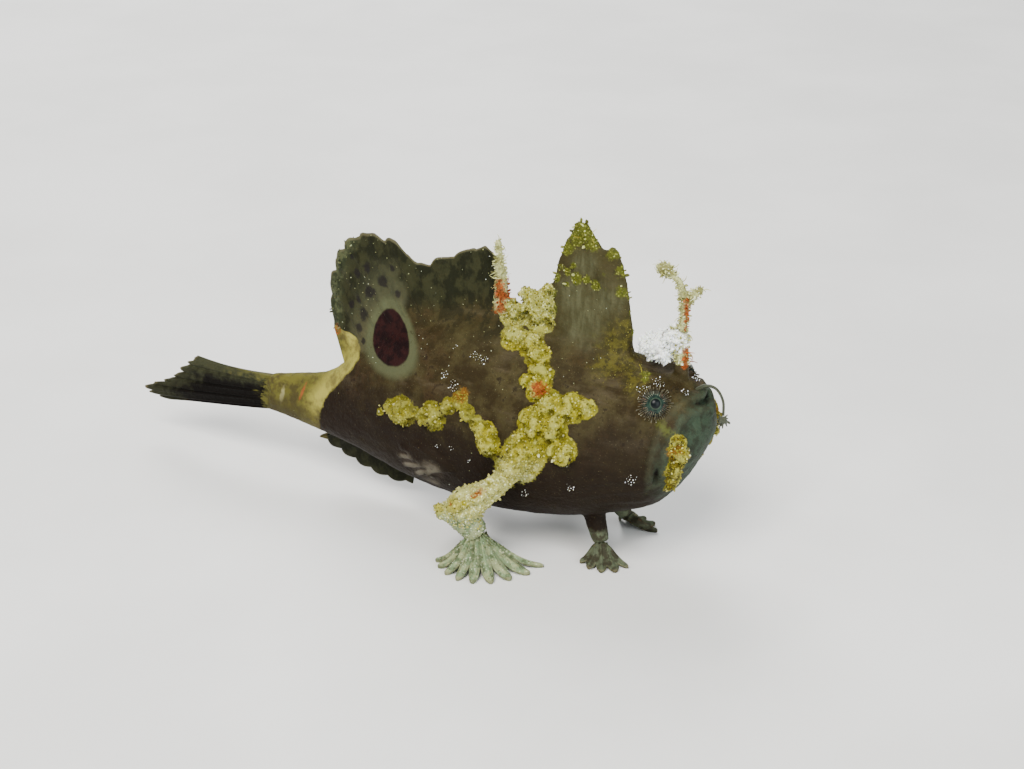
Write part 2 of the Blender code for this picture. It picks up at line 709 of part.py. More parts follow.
def foot(wrist, palm, tips):
    """A hand or foot: rays that leave the wrist, come down and lie along the floor."""
    rays = len(tips)
    start = Vector(wrist)
    heading = Vector((tips[-1][0] - tips[0][0], tips[-1][1] - tips[0][1], 0)).normalized()

    def place(u, v):
        tip = Vector((*catmull(tips, u), FOOT_HEIGHT))
        root = start + heading * palm * (2 * u - 1) * 0.9
        knee = root.lerp(tip, 0.5)
        knee.z = FOOT_KNEE
        w = v * (1 - 0.2 * (1 - on_ray(u, rays)))
        return root * (1 - w) ** 2 + knee * 2 * w * (1 - w) + tip * w * w

    def half(u, v):
        ridge = (RAY - MEMBRANE) * max(0.0, 2 * on_ray(u, rays) - 1)
        return MEMBRANE + ridge * (1 - 0.3 * v) + 0.5 * palm * (1 - v) ** 4

    return plate(3 * (rays - 1), 5, place, half)


def make_arms(skin_colour, fin_colour):
    for side, word in ((1, "left"), (-1, "right")):
        limb = mesh_object("pectoral_arm_" + word, tube(ARM_PATH, ARM_RADII, 12, 13), side)
        added = [mesh_object("hand", foot(WRIST, HAND_PALM, HAND_TIPS), side)]
        for x, y, z, r in ARM_WARTS:
            added.append(mesh_object("wart", wart(Vector((x, y, z)), r, ARM_WART_AXIS), side))
        apply_boolean(limb, "UNION", added)
        cx, cy, cz = WRIST_CUT
        cutter = bmesh.new()
        bmesh.ops.create_cube(cutter, size=1.0)
        bmesh.ops.scale(cutter, vec=(WRIST_SLAB, WRIST_SLAB, GAP), verts=cutter.verts[:])
        lean = Matrix.Rotation(math.radians(WRIST_LEAN), 3, "Y")
        bmesh.ops.rotate(cutter, matrix=lean, verts=cutter.verts[:])
        bmesh.ops.translate(cutter, vec=(cx, cy, cz), verts=cutter.verts[:])
        apply_boolean(limb, "DIFFERENCE", [mesh_object("wrist_cutter", cutter, side), below_floor()])
        hand = limb.copy()
        hand.data = limb.data.copy()
        hand.name = "pectoral_fin_" + word
        bpy.context.scene.collection.objects.link(hand)

        def height(piece):
            return sum(f.calc_center_median().z for f in piece) / len(piece)

        keep_piece(hand, lambda piece: -height(piece) if not is_crumb(piece) else -1.0)
        finish(hand, fin_colour)
        keep_piece(limb, lambda piece: height(piece) if not is_crumb(piece) else -1.0)
        cut_by_body(limb)
        finish(limb, skin_colour)


def make_pelvics(colour):
    for side, word in ((1, "left"), (-1, "right")):
        limb = mesh_object("pelvic_fin_" + word, tube(PELVIC_PATH, PELVIC_RADII, 10, 8), side)
        hand = mesh_object("foot", foot(PELVIC_PATH[-1], PELVIC_PALM, PELVIC_TIPS), side)
        apply_boolean(limb, "UNION", [hand])
        apply_boolean(limb, "DIFFERENCE", [below_floor()])
        cut_by_body(limb)
        finish(limb, colour)


def surface(name, colour, roughness):
    """A plain finish of one colour."""
    made = bpy.data.materials.new(name)
    made.use_nodes = True
    shader = made.node_tree.nodes["Principled BSDF"]
    shader.inputs["Base Color"].default_value = (*colour, 1.0)
    shader.inputs["Roughness"].default_value = roughness
    shader.inputs["Metallic"].default_value = 0.0
    return made


def finish(obj, colour):
    obj.data.materials.clear()
    obj.data.materials.append(colour)
    obj.data.shade_smooth()
    obj.data.set_sharp_from_angle(angle=math.radians(50))


def main():
    for old in list(bpy.data.objects):
        bpy.data.objects.remove(old)
    brown = surface("brown_skin", (0.10, 0.065, 0.04), 0.5)
    pale = surface("pale_peduncle", (0.42, 0.36, 0.16), 0.5)
    dark = surface("dark_tail", (0.02, 0.014, 0.01), 0.5)
    yellow = surface("yellow_wart", (0.50, 0.42, 0.10), 0.6)
    cream = surface("cream_wart", (0.72, 0.70, 0.52), 0.6)
    fingers = surface("pale_fingers", (0.45, 0.48, 0.33), 0.5)
    eye = surface("eye", (0.05, 0.10, 0.08), 0.15)
    make_body(brown, pale)
    make_eyes(eye)
    make_fins(brown, dark)
    make_sail(brown)
    make_second_spine(cream)
    make_lure(cream)
    make_arms(yellow, fingers)
    make_pelvics(fingers)


main()
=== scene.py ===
"""A frogfish on its hand-like fins: skin, fins, warts, tufts and eyes, on a pale studio floor.

X runs from the tail to the mouth, Y to the fish's left and Z up, and the floor is at Z = 0.
Shapes are made in millimetres, counted lengthwise from the body's deepest point, and settle()
turns each finished mesh into metres with X counted from the middle of the whole length.
"""
import math
import random

import bmesh
import bpy
import numpy as np
from mathutils import Matrix, Vector, noise


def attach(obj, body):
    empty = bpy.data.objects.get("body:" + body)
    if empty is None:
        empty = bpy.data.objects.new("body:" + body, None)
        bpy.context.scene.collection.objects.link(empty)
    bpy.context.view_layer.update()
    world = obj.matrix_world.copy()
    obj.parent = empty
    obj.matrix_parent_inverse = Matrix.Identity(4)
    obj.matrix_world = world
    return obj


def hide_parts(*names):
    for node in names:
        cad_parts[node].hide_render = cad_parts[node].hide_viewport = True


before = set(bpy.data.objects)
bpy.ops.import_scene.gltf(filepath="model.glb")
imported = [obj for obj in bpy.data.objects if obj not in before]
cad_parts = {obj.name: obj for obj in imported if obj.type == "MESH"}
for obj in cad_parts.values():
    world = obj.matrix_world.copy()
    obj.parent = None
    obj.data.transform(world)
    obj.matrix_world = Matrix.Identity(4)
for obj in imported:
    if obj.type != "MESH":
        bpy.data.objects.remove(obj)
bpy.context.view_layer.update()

MM = 0.001
MIDDLE = -10.5                  # x half way from the tail's tip to the lure
VOXEL = 0.195                   # grain of the melted skin
PATCH = 0.0015                  # half the size of one grain's patch on the bake map
FAR_OUTSIDE = -9.0              # depth of a point that is in none of a marking's blobs
MAP_START = -42.0               # x at which the bake map begins
MAP_LENGTH = 64.0
MAP_HEIGHT = 12.0               # the height it turns about

# Body: x, height of the back, height of the belly, half width
BODY = [
    (-25.2, 10.3, 6.4, 1.0), (-22.0, 10.9, 5.9, 1.5), (-19.0, 11.7, 5.4, 2.1), (-16.8, 13.4, 5.0, 2.7),
    (-14.0, 15.8, 4.3, 3.5), (-10.0, 18.4, 3.2, 4.6), (-5.0, 20.2, 2.5, 5.7), (0.0, 20.8, 2.2, 6.4),
    (5.0, 20.3, 2.8, 6.7), (9.0, 19.3, 3.7, 6.5), (12.5, 18.6, 4.9, 6.0), (15.0, 18.3, 6.1, 5.4),
    (17.0, 17.4, 8.5, 4.5), (18.0, 16.3, 10.4, 3.4), (18.7, 15.3, 11.8, 2.2), (19.1, 14.3, 13.1, 0.6),
]
EGG = 0.22                      # how much wider the belly is than the back
# Swellings of the body: x, height, side distance, reach, lift
BROW = (13.6, 17.9, 2.9, 2.0, 0.9)
CHEEK = (12.3, 12.0, 5.9, 3.6, 0.4)
SHOULDER = (5.6, 12.4, 6.5, 3.2, 0.6)
NAPE_DIP = (14.0, 18.6, 0.0, 1.7, -0.5)
SWELLINGS = (BROW, CHEEK, SHOULDER, NAPE_DIP)

EYE = (15.0, 16.4)              # x and height
EYE_RADIUS = 1.2
EYE_SINK = 0.3
EYE_RAYS = 46                   # threads round each eye
RAY_SHAPES = [(0.05, 0.03, 0.045), (0.045, 0.035, 0.02), (0.04, 0.028, 0.06)]
MOUTH = [(15.9, -24), (16.0, -8), (16.2, 10), (16.6, 28), (17.3, 48), (18.0, 68), (18.3, 90)]
LIP_THICKNESS = 0.5
LIP_SPREAD = 0.46
NOSTRIL = (16.3, 62)            # x and turn
NOSTRIL_RISE = 0.42             # how far out of the skin its tube ends
# A greenish line from the eye to the chin: x and height
SMEAR = [(16.0, 15.0), (16.7, 14.4), (17.2, 13.6)]
# Where the green of the face begins: height and x
FACE_EDGE = [(6.0, 15.8), (9.0, 16.0), (12.5, 16.3), (14.5, 16.9), (16.5, 17.6), (18.0, 18.2)]

# Wart ridges on each flank: x, height, radius
BAND = [
    (1.3, 19.8, 1.1), (2.9, 19.6, 1.1), (4.0, 18.8, 1.0), (4.7, 17.6, 1.0), (4.9, 16.4, 1.0),
    (3.4, 17.0, 0.5), (6.2, 15.3, 1.3), (8.0, 15.5, 1.2), (9.4, 15.6, 0.8), (5.2, 13.9, 1.4),
    (6.8, 13.9, 1.2), (7.9, 12.2, 1.2), (4.6, 12.4, 1.2),
]
BAND_RIDGE = 5                  # how many of the band's warts, from the top, stand on a ridge
STREAK = [
    (-11.2, 10.9, 0.35), (-10.0, 11.7, 0.65), (-8.6, 11.7, 1.25), (-6.9, 12.0, 0.55),
    (-5.2, 12.2, 1.2), (-3.6, 13.5, 0.7), (-2.5, 14.3, 0.75), (-1.6, 13.4, 0.7), (-0.5, 12.7, 0.7),
    (0.5, 12.1, 1.0), (0.8, 11.2, 1.1),
]
CHIN_PATCH = [(17.3, 13.6, 0.8), (17.6, 12.5, 0.9), (17.3, 11.4, 0.9), (17.1, 10.3, 0.7), (16.7, 9.2, 0.6)]
CHIN_RUST = (17.4, 13.0, 1.1)
BACK_WARTS = [
    (0.6, 21.0, 1.3), (1.7, 21.9, 1.2), (2.9, 21.2, 1.3), (1.6, 23.0, 0.8), (3.1, 22.7, 0.9),
    (3.4, 23.8, 0.6),
]
# Smaller lumps of a wart: how many, how far from its middle, and their radii, as shares of its own
CLUMPS = [(5, 0.7, 0.26, 0.52), (12, 0.95, 0.14, 0.3)]

GILL_PORE = (-6.0, 6.0)
PORE_RADIUS = 0.36
PORE_LENGTH = 0.25
# Folds that fan out behind the gill pore: the far end of each, as x and height
GILL_FOLDS = [(-7.6, 8.9), (-8.9, 8.1), (-9.3, 7.1), (-8.9, 6.1), (-7.9, 5.2)]
GILL_FOLD_ROOT = (-3.0, 7.4)
# The pale skin on them: x, height, radius
GILL_PATCH = [(-8.0, 6.9, 1.5), (-6.8, 6.4, 1.5), (-6.2, 5.2, 1.5), (-5.2, 6.9, 1.5)]

ARM_PATH = [
    (6.4, 5.2, 13.4), (4.9, 6.7, 11.9), (3.6, 7.7, 9.8), (2.0, 8.5, 7.9), (0.2, 8.9, 6.5),
    (-0.7, 8.9, 5.4), (-0.1, 8.8, 4.2), (0.6, 8.5, 3.2),
]
ARM_RADII = [1.3, 1.15, 0.95, 1.0, 1.45, 1.6, 1.3, 1.05]
ARM_WARTS = [
    (4.5, 7.7, 11.9, 0.9), (3.6, 8.4, 10.3, 0.8), (2.6, 9.1, 8.9, 0.8), (1.2, 9.7, 7.5, 0.9),
    (-0.5, 10.0, 6.5, 1.1), (-2.0, 9.6, 5.6, 1.0),
]
WRIST = (0.6, 8.5, 3.2)
HAND_TIPS = [(-3.0, 9.8), (-2.3, 10.7), (-1.2, 11.5), (0.2, 12.0), (1.7, 11.9), (3.2, 11.2), (4.5, 10.0),
             (5.6, 8.4), (6.2, 6.6)]
HAND_PALM = 0.79
PELVIC_PATH = [(8.6, 1.8, 5.2), (9.3, 2.3, 3.6), (9.9, 2.7, 2.3), (10.2, 2.9, 1.7)]
PELVIC_RADII = [1.0, 0.95, 0.8, 0.7]
PELVIC_TIPS = [(8.8, 4.6), (9.9, 5.3), (11.2, 5.4), (12.4, 4.8), (13.1, 3.6)]
PELVIC_PALM = 0.52

DORSAL_BASE = (-16.7, -0.9)
DORSAL_TIPS = [
    (-18.6, 16.2), (-19.1, 18.3), (-19.0, 20.7), (-18.1, 23.4), (-16.7, 25.3), (-14.2, 26.2),
    (-11.6, 25.9), (-9.4, 24.3), (-7.0, 25.1), (-4.8, 26.0), (-2.9, 26.6), (-1.4, 25.3),
]
DORSAL_SPIKE = [(-0.9, 0.0, 20.6), (-1.0, 0.1, 23.4), (-1.3, 0.15, 25.8), (-1.4, 0.2, 27.6)]
DORSAL_SPIKE_RADII = [0.7, 0.5, 0.4, 0.26]
ANAL_BASE = (-17.4, -10.0)
ANAL_TIPS = [
    (-20.4, 4.5), (-19.2, 3.7), (-17.7, 3.0), (-15.9, 2.4), (-14.0, 2.0), (-12.0, 1.7), (-10.3, 1.7),
]
CAUDAL_BASE = (6.7, 10.0)
CAUDAL_TIPS = [
    (-39.4, 4.2), (-41.0, 4.5), (-41.5, 5.0), (-40.5, 5.6), (-39.0, 6.2), (-37.8, 7.0), (-36.9, 7.9),
    (-36.0, 8.8), (-35.0, 9.6),
]
TAIL_SWING = 1.6
TAIL_PLEAT = 0.1

SAIL_BASE = (4.4, 11.6)
SAIL_EDGE = [(4.0, 24.4), (4.4, 26.8), (5.2, 28.9), (6.4, 30.5), (7.5, 29.4), (8.6, 28.3), (9.6, 28.8),
             (10.4, 27.6), (11.0, 24.2)]
SAIL_FOOT = 1.3
SAIL_RIB = 0.55

SPINE_PATH = [(15.9, 0.0, 17.0), (16.1, 0.0, 19.2), (16.0, 0.0, 22.3), (16.1, 0.0, 24.8), (15.5, 0.0, 26.6),
              (13.9, 0.0, 27.7)]
SPINE_RADII = [0.8, 0.6, 0.42, 0.36, 0.33, 0.26]
SPINE_TWIG = [(15.9, 0.0, 24.0), (16.7, 0.1, 25.4), (17.5, 0.1, 26.2)]
SPINE_TWIG_RADII = [0.36, 0.34, 0.36]
SPINE_WARTS = [
    (15.4, 0.0, 21.3, 1.1), (14.4, 0.3, 20.6, 1.2), (13.3, -0.1, 20.3, 1.1), (13.1, 0.2, 19.4, 0.8),
    (14.5, -0.1, 19.7, 0.9), (14.2, 0.0, 27.4, 0.8),
]
LURE_PATH = [(17.0, 0.0, 16.4), (18.1, 0.0, 17.4), (19.2, 0.0, 17.4), (19.9, 0.0, 16.4), (20.0, 0.0, 15.0)]
LURE_STALK = [0.25, 0.17, 0.13, 0.12, 0.12]
LURE_BAIT = (20.0, 0.0, 14.5, 0.5)
LURE_TUFTS = 22
LURE_VOXEL = 0.045

# Markings are placed along and up the flank as it is seen from half in front and half above
SEEN_ALONG = 0.466              # how far a side distance moves a mark along
SEEN_UP = (0.906, 0.383)        # shares of height and of side distance in the way up
EYESPOT = (-12.15, 14.95)
EYESPOT_SIZE = (1.9, 2.5)
FRECKLES = [
    (-2.2, 3.7, 0.7), (-2.9, 1.5, 0.65), (-0.8, 4.8, 0.6), (0.7, 4.0, 0.38), (-3.5, 0.3, 0.45),
    (-3.7, 4.9, 0.5), (-3.5, 2.8, 0.45), (-4.4, 2.0, 0.35), (-2.4, 5.7, 0.5), (-4.3, 6.3, 0.3),
    (0.2, 6.1, 0.3), (-3.0, -0.9, 0.3),
]
# Where the pale skin of the tail's stalk ends: height and x
PALE_EDGE = [
    (3.0, -19.6), (7.4, -18.9), (9.7, -18.3), (11.7, -16.7), (13.2, -15.4), (14.4, -14.8),
    (15.6, -15.6), (16.1, -16.7), (17.0, -18.5),
]
# Slanted ovals on the tail's stalk: x and height of the middle, half width, half height, lean
SCRATCH = (-21.3, 9.6, 0.26, 1.3, 0.33)
PALE_BAR = (-23.685, 8.6, 0.5, 1.7, 0.15)
# Spots and patches: x, side distance, height, radius
RUST_SPOT = (-2.5, 5.4, 14.6, 1.1)
RED_SPOTS = [
    (5.1, 5.4, 16.8, 0.95), (1.3, 10.0, 8.3, 0.75), (-0.8, 10.4, 6.6, 0.5), (-1.0, 0.4, 23.6, 0.75),
    (-0.9, 0.4, 22.6, 0.95), (-0.9, 0.4, 21.6, 0.8), (-18.3, 0.0, 16.1, 0.75), (16.4, 0.3, 25.2, 0.35),
    (16.4, 0.3, 24.6, 0.4), (16.4, 0.3, 24.0, 0.4), (16.4, 0.3, 23.3, 0.35), (16.4, 0.3, 22.6, 0.3),
    (16.5, 0.3, 20.5, 0.4), (16.5, 0.4, 19.8, 0.48), (16.5, 0.4, 19.2, 0.38),
]
SAIL_BAND = [
    (4.5, 0.4, 26.1, 0.55), (5.3, 0.4, 25.9, 0.5), (6.3, 0.4, 25.5, 0.6), (7.3, 0.4, 25.5, 0.45),
    (8.2, 0.4, 25.2, 0.6), (9.3, 0.4, 25.2, 0.55), (10.4, 0.3, 25.0, 0.7), (8.9, 0.4, 26.3, 0.35),
    (6.0, 0.4, 26.6, 0.35), (5.4, 0.5, 24.8, 0.3),
]
SAIL_CROWN = [
    (6.3, 0.0, 29.6, 1.6), (5.2, 0.0, 28.0, 0.8), (7.4, 0.0, 28.9, 1.0), (9.7, 0.0, 28.3, 0.9),
    (10.4, 0.0, 26.8, 0.8), (4.2, 0.0, 25.2, 0.6), (3.9, 0.0, 23.6, 0.8), (3.9, 0.0, 22.4, 0.9),
    (11.0, 0.0, 24.6, 0.5), (11.3, 0.0, 23.0, 0.4), (11.6, 0.0, 21.3, 0.45), (11.9, 0.0, 19.9, 0.4),
    (13.2, 1.2, 19.2, 0.6), (13.4, 1.8, 18.6, 0.6), (13.7, 2.4, 18.0, 0.5),
]
SAIL_LOW = [
    (10.3, 1.2, 20.3, 2.2), (11.8, 1.6, 19.1, 2.0), (12.9, 2.6, 17.9, 1.8), (10.0, 1.9, 18.4, 1.9),
    (11.2, 1.0, 21.8, 1.6),
]
SAIL_GREY = [(6.2, 0.5, 23.8, 3.0), (7.2, 0.7, 21.6, 3.2), (7.0, 0.4, 27.0, 1.9), (9.0, 0.5, 24.2, 2.7)]
SAIL_FRONT = [(11.0, 0.0, 24.6), (11.9, 0.0, 19.5), (12.9, 2.6, 17.9)]
SPECKS = [
    (-1.9, 3.7, 17.9, 0.6), (-1.0, 3.9, 17.8, 0.5), (-4.5, 4.4, 16.0, 0.5), (-3.4, 4.9, 15.3, 0.6),
    (-4.5, 5.9, 9.5, 0.35), (-3.0, 6.2, 9.8, 0.3), (-1.2, 6.4, 8.8, 0.35), (4.2, 6.4, 7.0, 0.4),
    (8.7, 6.6, 8.8, 0.5), (14.0, 5.8, 10.4, 0.7), (-4.0, 3.4, 18.3, 0.4), (13.8, 3.1, 17.2, 0.9),
    (14.8, 2.2, 18.0, 0.7), (16.9, 1.4, 17.2, 0.6),
]

CAMERA_TURN = 25.0              # degrees round from the fish's right towards its face
CAMERA_RISE = 25.0
CAMERA_VIEW = 30.0
CAMERA_REACH = 172.0
CAMERA_AIM = (0.0, 0.0, 14.0)


def catmull(points, t):
    """The smooth curve through a list of tuples, at t from 0 to 1."""
    last = len(points) - 1
    place = min(max(t, 0.0), 1.0) * last
    i = min(int(place), last - 1)
    f = place - i
    before, here = points[max(i - 1, 0)], points[i]
    after, beyond = points[i + 1], points[min(i + 2, last)]
    return [
        0.5 * (2 * b + (c - a) * f + (2 * a - 5 * b + 4 * c - d) * f * f + (3 * b - a - 3 * c + d) * f ** 3)
        for a, b, c, d in zip(before, here, after, beyond)
    ]


def body_point(t, turn):
    """The skin at t along the body and at turn degrees about it, 0 on the flank and 90 on the back."""
    x, top, bottom, half = catmull(BODY, t)
    a = math.radians(turn)
    out = Vector((0.0, math.cos(a), math.sin(a)))
    point = Vector((x, half * out.y * (1 - EGG * out.z), (top + bottom) / 2 + (top - bottom) / 2 * out.z))
    for sx, sz, sy, reach, lift in SWELLINGS:
        away = (point - Vector((sx, math.copysign(sy, point.y), sz))).length
        point += out * lift * math.exp(-(away / reach) ** 2)
    return point


def along(x):
    """The t at which the body has this x."""
    low, high = 0.0, 1.0
    for _ in range(30):
        middle = (low + high) / 2
        if catmull(BODY, middle)[0] < x:
            low = middle
        else:
            high = middle
    return low


def skin_at(x, turn):
    """A point of the skin and its outward direction."""
    t = along(x)
    step = 0.004
    length = body_point(min(t + step, 1), turn) - body_point(max(t - step, 0), turn)
    girth = body_point(t, turn + 2) - body_point(t, turn - 2)
    return body_point(t, turn), girth.cross(length).normalized()


def flank(x, z):
    """A point of the left flank at this height, and its outward direction."""
    _, top, bottom, _ = catmull(BODY, along(x))
    share = (z - (top + bottom) / 2) / ((top - bottom) / 2)
    return skin_at(x, math.degrees(math.asin(max(-1.0, min(1.0, share)))))


def loft(rings, sides, place):
    """A closed tube. place(i, turn) gives the point of ring i at that turn, from 0 to 1."""
    bm = bmesh.new()
    turn = bm.verts.layers.float.new("turn")
    ring = bmesh.ops.create_circle(bm, cap_ends=True, segments=sides, radius=1.0)["verts"]
    for k, v in enumerate(ring):
        v[turn] = k / sides
        v.co = place(0, v[turn])
    edges = list({e for v in ring for e in v.link_edges})
    for i in range(1, rings):
        made = bmesh.ops.extrude_edge_only(bm, edges=edges)["geom"]
        ring = {g for g in made if isinstance(g, bmesh.types.BMVert)}
        edges = [g for g in made if isinstance(g, bmesh.types.BMEdge) and set(g.verts) <= ring]
        for v in ring:
            v.co = place(i, v[turn])
    bmesh.ops.edgeloop_fill(bm, edges=edges)
    bmesh.ops.recalc_face_normals(bm, faces=bm.faces[:])
    bm.verts.layers.float.remove(turn)
    return bm


def tube(path, radii, sides=20, rings=24):
    """A round, tapering tube through the points of a path."""
    spots = [Vector(catmull(path, i / (rings - 1))) for i in range(rings)]
    widths = [catmull([(r,) for r in radii], i / (rings - 1))[0] for i in range(rings)]
    frames = []
    across = Vector((0.0, 1.0, 0.0))
    for i in range(rings):
        heading = (spots[min(i + 1, rings - 1)] - spots[max(i - 1, 0)]).normalized()
        across = (across - heading * across.dot(heading)).normalized()
        frames.append((across, heading.cross(across)))

    def place(i, turn):
        a = 2 * math.pi * turn
        return spots[i] + (frames[i][0] * math.cos(a) + frames[i][1] * math.sin(a)) * widths[i]

    return loft(rings, sides, place)


def hoop(centre, axis, radius, thickness, squash=1.0):
    """A ring of skin round an axis, made by sweeping a small circle."""
    bm = bmesh.new()
    ring = bmesh.ops.create_circle(bm, segments=10, radius=thickness)["verts"]
    bmesh.ops.rotate(bm, matrix=Matrix.Rotation(math.pi / 2, 3, "X"), verts=ring)
    bmesh.ops.translate(bm, vec=(radius, 0.0, 0.0), verts=ring)
    bmesh.ops.spin(
        bm, geom=bm.edges[:], cent=(0, 0, 0), axis=(0, 0, 1), angle=2 * math.pi, steps=32, use_merge=True,
    )
    bmesh.ops.scale(bm, vec=(1.0, squash, 1.0), verts=bm.verts[:])
    bmesh.ops.recalc_face_normals(bm, faces=bm.faces[:])
    turned = Matrix.Translation(centre) @ Vector(axis).to_track_quat("Z", "Y").to_matrix().to_4x4()
    bmesh.ops.transform(bm, matrix=turned, verts=bm.verts[:])
    return bm


def sort_rim(bm, raised):
    """Sorts the faces that join a plate's two sides by place, so that every run has them in one order."""
    way = Vector((0.7, 0.3, 0.65))
    bm.faces.index_update()
    after = len(bm.faces) + 1000.0

    def order(face):
        joins = len(raised.intersection(face.verts)) not in (0, len(face.verts))
        return after + face.calc_center_median().dot(way) if joins else face.index

    bm.faces.sort(key=order)


def plate(columns, rows, place, half_thickness, reach=1.0):
    """A closed plate about the middle surface place(u, v), with u and v kept on its points."""
    bm = bmesh.new()
    bmesh.ops.create_grid(bm, x_segments=columns, y_segments=rows, size=0.5)
    bmesh.ops.triangulate(bm, faces=bm.faces[:])
    over = bm.verts.layers.float.new("fin_u")
    up = bm.verts.layers.float.new("fin_v")
    face = bmesh.ops.extrude_face_region(bm, geom=bm.faces[:], use_keep_orig=True)["geom"]
    raised = {g for g in face if isinstance(g, bmesh.types.BMVert)}
    step = 0.01
    for v in bm.verts:
        a, b = v.co.x + 0.5, (v.co.y + 0.5) * reach
        v[over], v[up] = a, b
        along_u = place(min(a + step, 1), b) - place(max(a - step, 0), b)
        along_v = place(a, min(b + step, 1)) - place(a, max(b - step, 0))
        across = along_u.cross(along_v).normalized()
        v.co = place(a, b) + across * half_thickness(a, b) * (1 if v in raised else -1)
    bmesh.ops.recalc_face_normals(bm, faces=bm.faces[:])
    sort_rim(bm, raised)
    return bm


def on_ray(u, rays):
    """1 on a fin ray, falling to 0 half way to the next."""
    share = u * (rays - 1)
    return 1 - 2 * abs(share - round(share))


def mirrored(bm):
    """The same shape for the fish's right side."""
    bmesh.ops.scale(bm, vec=(1.0, -1.0, 1.0), verts=bm.verts[:])
    bmesh.ops.reverse_faces(bm, faces=bm.faces[:])
    return bm


def both_sides(make):
    return [make(), mirrored(make())]


def join(whole, shape):
    """Adds a shape to a larger one, and frees it."""
    mesh = bpy.data.meshes.new("shape")
    shape.to_mesh(mesh)
    shape.free()
    whole.from_mesh(mesh)
    bpy.data.meshes.remove(mesh)


def gather(name, shapes):
    """Several shapes as one object."""
    whole = bmesh.new()
    for shape in shapes:
        join(whole, shape)
    mesh = bpy.data.meshes.new(name)
    whole.to_mesh(mesh)
    whole.free()
    obj = bpy.data.objects.new(name, mesh)
    bpy.context.scene.collection.objects.link(obj)
    return obj


def apply_modifiers(obj):
    graph = bpy.context.evaluated_depsgraph_get()
    mesh = bpy.data.meshes.new_from_object(obj.evaluated_get(graph))
    obj.modifiers.clear()
    old = obj.data
    obj.data = mesh
    bpy.data.meshes.remove(old)
    mesh.name = obj.name


def settle(obj, slot, material, *nodes):
    """Moves a finished piece into the frame, and gives it its material and its place in the part."""
    obj.data.transform(Matrix.Scale(MM, 4) @ Matrix.Translation((-MIDDLE, 0.0, 0.0)))
    obj.data.materials.clear()
    obj.data.materials.append(material)
    obj.data.shade_smooth()
    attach(obj, "root")
    if nodes:
        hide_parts(*nodes)


# The warts, and the small buds on each

def flank_warts():
    """Each wart of the left flank as its middle, the way out of the skin there, and its radius."""
    found = []
    for x, z, radius in BAND + STREAK + CHIN_PATCH:
        point, out = flank(x, z)
        found.append((point, out, radius))
    return found


def arm_warts():
    return [(Vector((x, y, z)), Vector((0.25, 0.9, 0.35)), radius) for x, y, z, radius in ARM_WARTS]


def middle_warts(table):
    return [(Vector((x, y, z)), Vector((0.0, 0.0, 1.0)), radius) for x, y, z, radius in table]


def lumps(warts, seed, both=True):
    """Clumps of round shapes in three sizes, which melt into one another."""
    draw = random.Random(seed)
    bm = bmesh.new()
    sides = (1, -1) if both else (1,)
    for middle, out, radius in warts:
        turned = out.to_track_quat("Z", "Y").to_matrix()
        balls = [(middle - out * 0.15 * radius, radius * 0.6)]
        for count, reach, low, high in CLUMPS:
            for k in range(count):
                lean = draw.uniform(0.2, 1.5)
                spin = 2 * math.pi * (k + draw.random()) / count
                flat = math.sin(lean)
                way = turned @ Vector((flat * math.cos(spin), flat * math.sin(spin), 0.85 * math.cos(lean)))
                spot = middle + way * radius * reach * draw.uniform(0.65, 1.15)
                balls.append((spot, radius * draw.uniform(low, high)))
        for side in sides:
            for spot, size in balls:
                at = Matrix.Translation((spot.x, spot.y * side, spot.z))
                bmesh.ops.create_icosphere(bm, subdivisions=2, radius=size, matrix=at)
    return bm


def ridge(warts):
    """A low swelling of the skin that joins one wart to the next."""
    path = [tuple(middle + out * 0.1 * radius) for middle, out, radius in warts]
    return tube(path, [radius * 0.5 for _, _, radius in warts], 12, 8 * len(warts))


# Fins and limbs

def back_height(x):
    return catmull(BODY, along(x))[1]


def belly_height(x):
    return catmull(BODY, along(x))[2]


def fin_surface(feet, tips, sway, notch, crinkle=0.0):
    """The middle surface of a fin whose rays run from feet to tips."""
    rays = len(tips)

    def place(u, v):
        x0, z0 = feet(u)
        tip = catmull(tips, u)
        ragged = crinkle * noise.noise(Vector((u * rays * 2.3, 3.1, rays))) * v ** 6
        reach = v * (1 - notch * (1 - on_ray(u, rays)) ** 2 + ragged)
        return Vector((x0 + (tip[0] - x0) * reach, sway(u, v), z0 + (tip[1] - z0) * reach))

    return place


def between(ends, u):
    return ends[0] + (ends[1] - ends[0]) * u


def dorsal_surface():
    return fin_surface(
        lambda u: (between(DORSAL_BASE, u), back_height(between(DORSAL_BASE, u)) - 1.2),
        DORSAL_TIPS, lambda u, v: 0.55 * v * math.sin(7.0 * u + 0.5) + 0.5 * v * v, 0.05, 0.05,
    )


def anal_surface():
    return fin_surface(
        lambda u: (between(ANAL_BASE, u), belly_height(between(ANAL_BASE, u)) + 0.9),
        ANAL_TIPS, lambda u, v: 0.3 * v * math.sin(6.0 * u), 0.1,
    )


def caudal_surface():
    pleats = math.pi * (len(CAUDAL_TIPS) - 1)
    return fin_surface(
        lambda u: (BODY[0][0] + 0.6, between(CAUDAL_BASE, u)),
        CAUDAL_TIPS, lambda u, v: TAIL_SWING * v * v + TAIL_PLEAT * v * math.sin(pleats * u), 0.04, 0.04,
    )


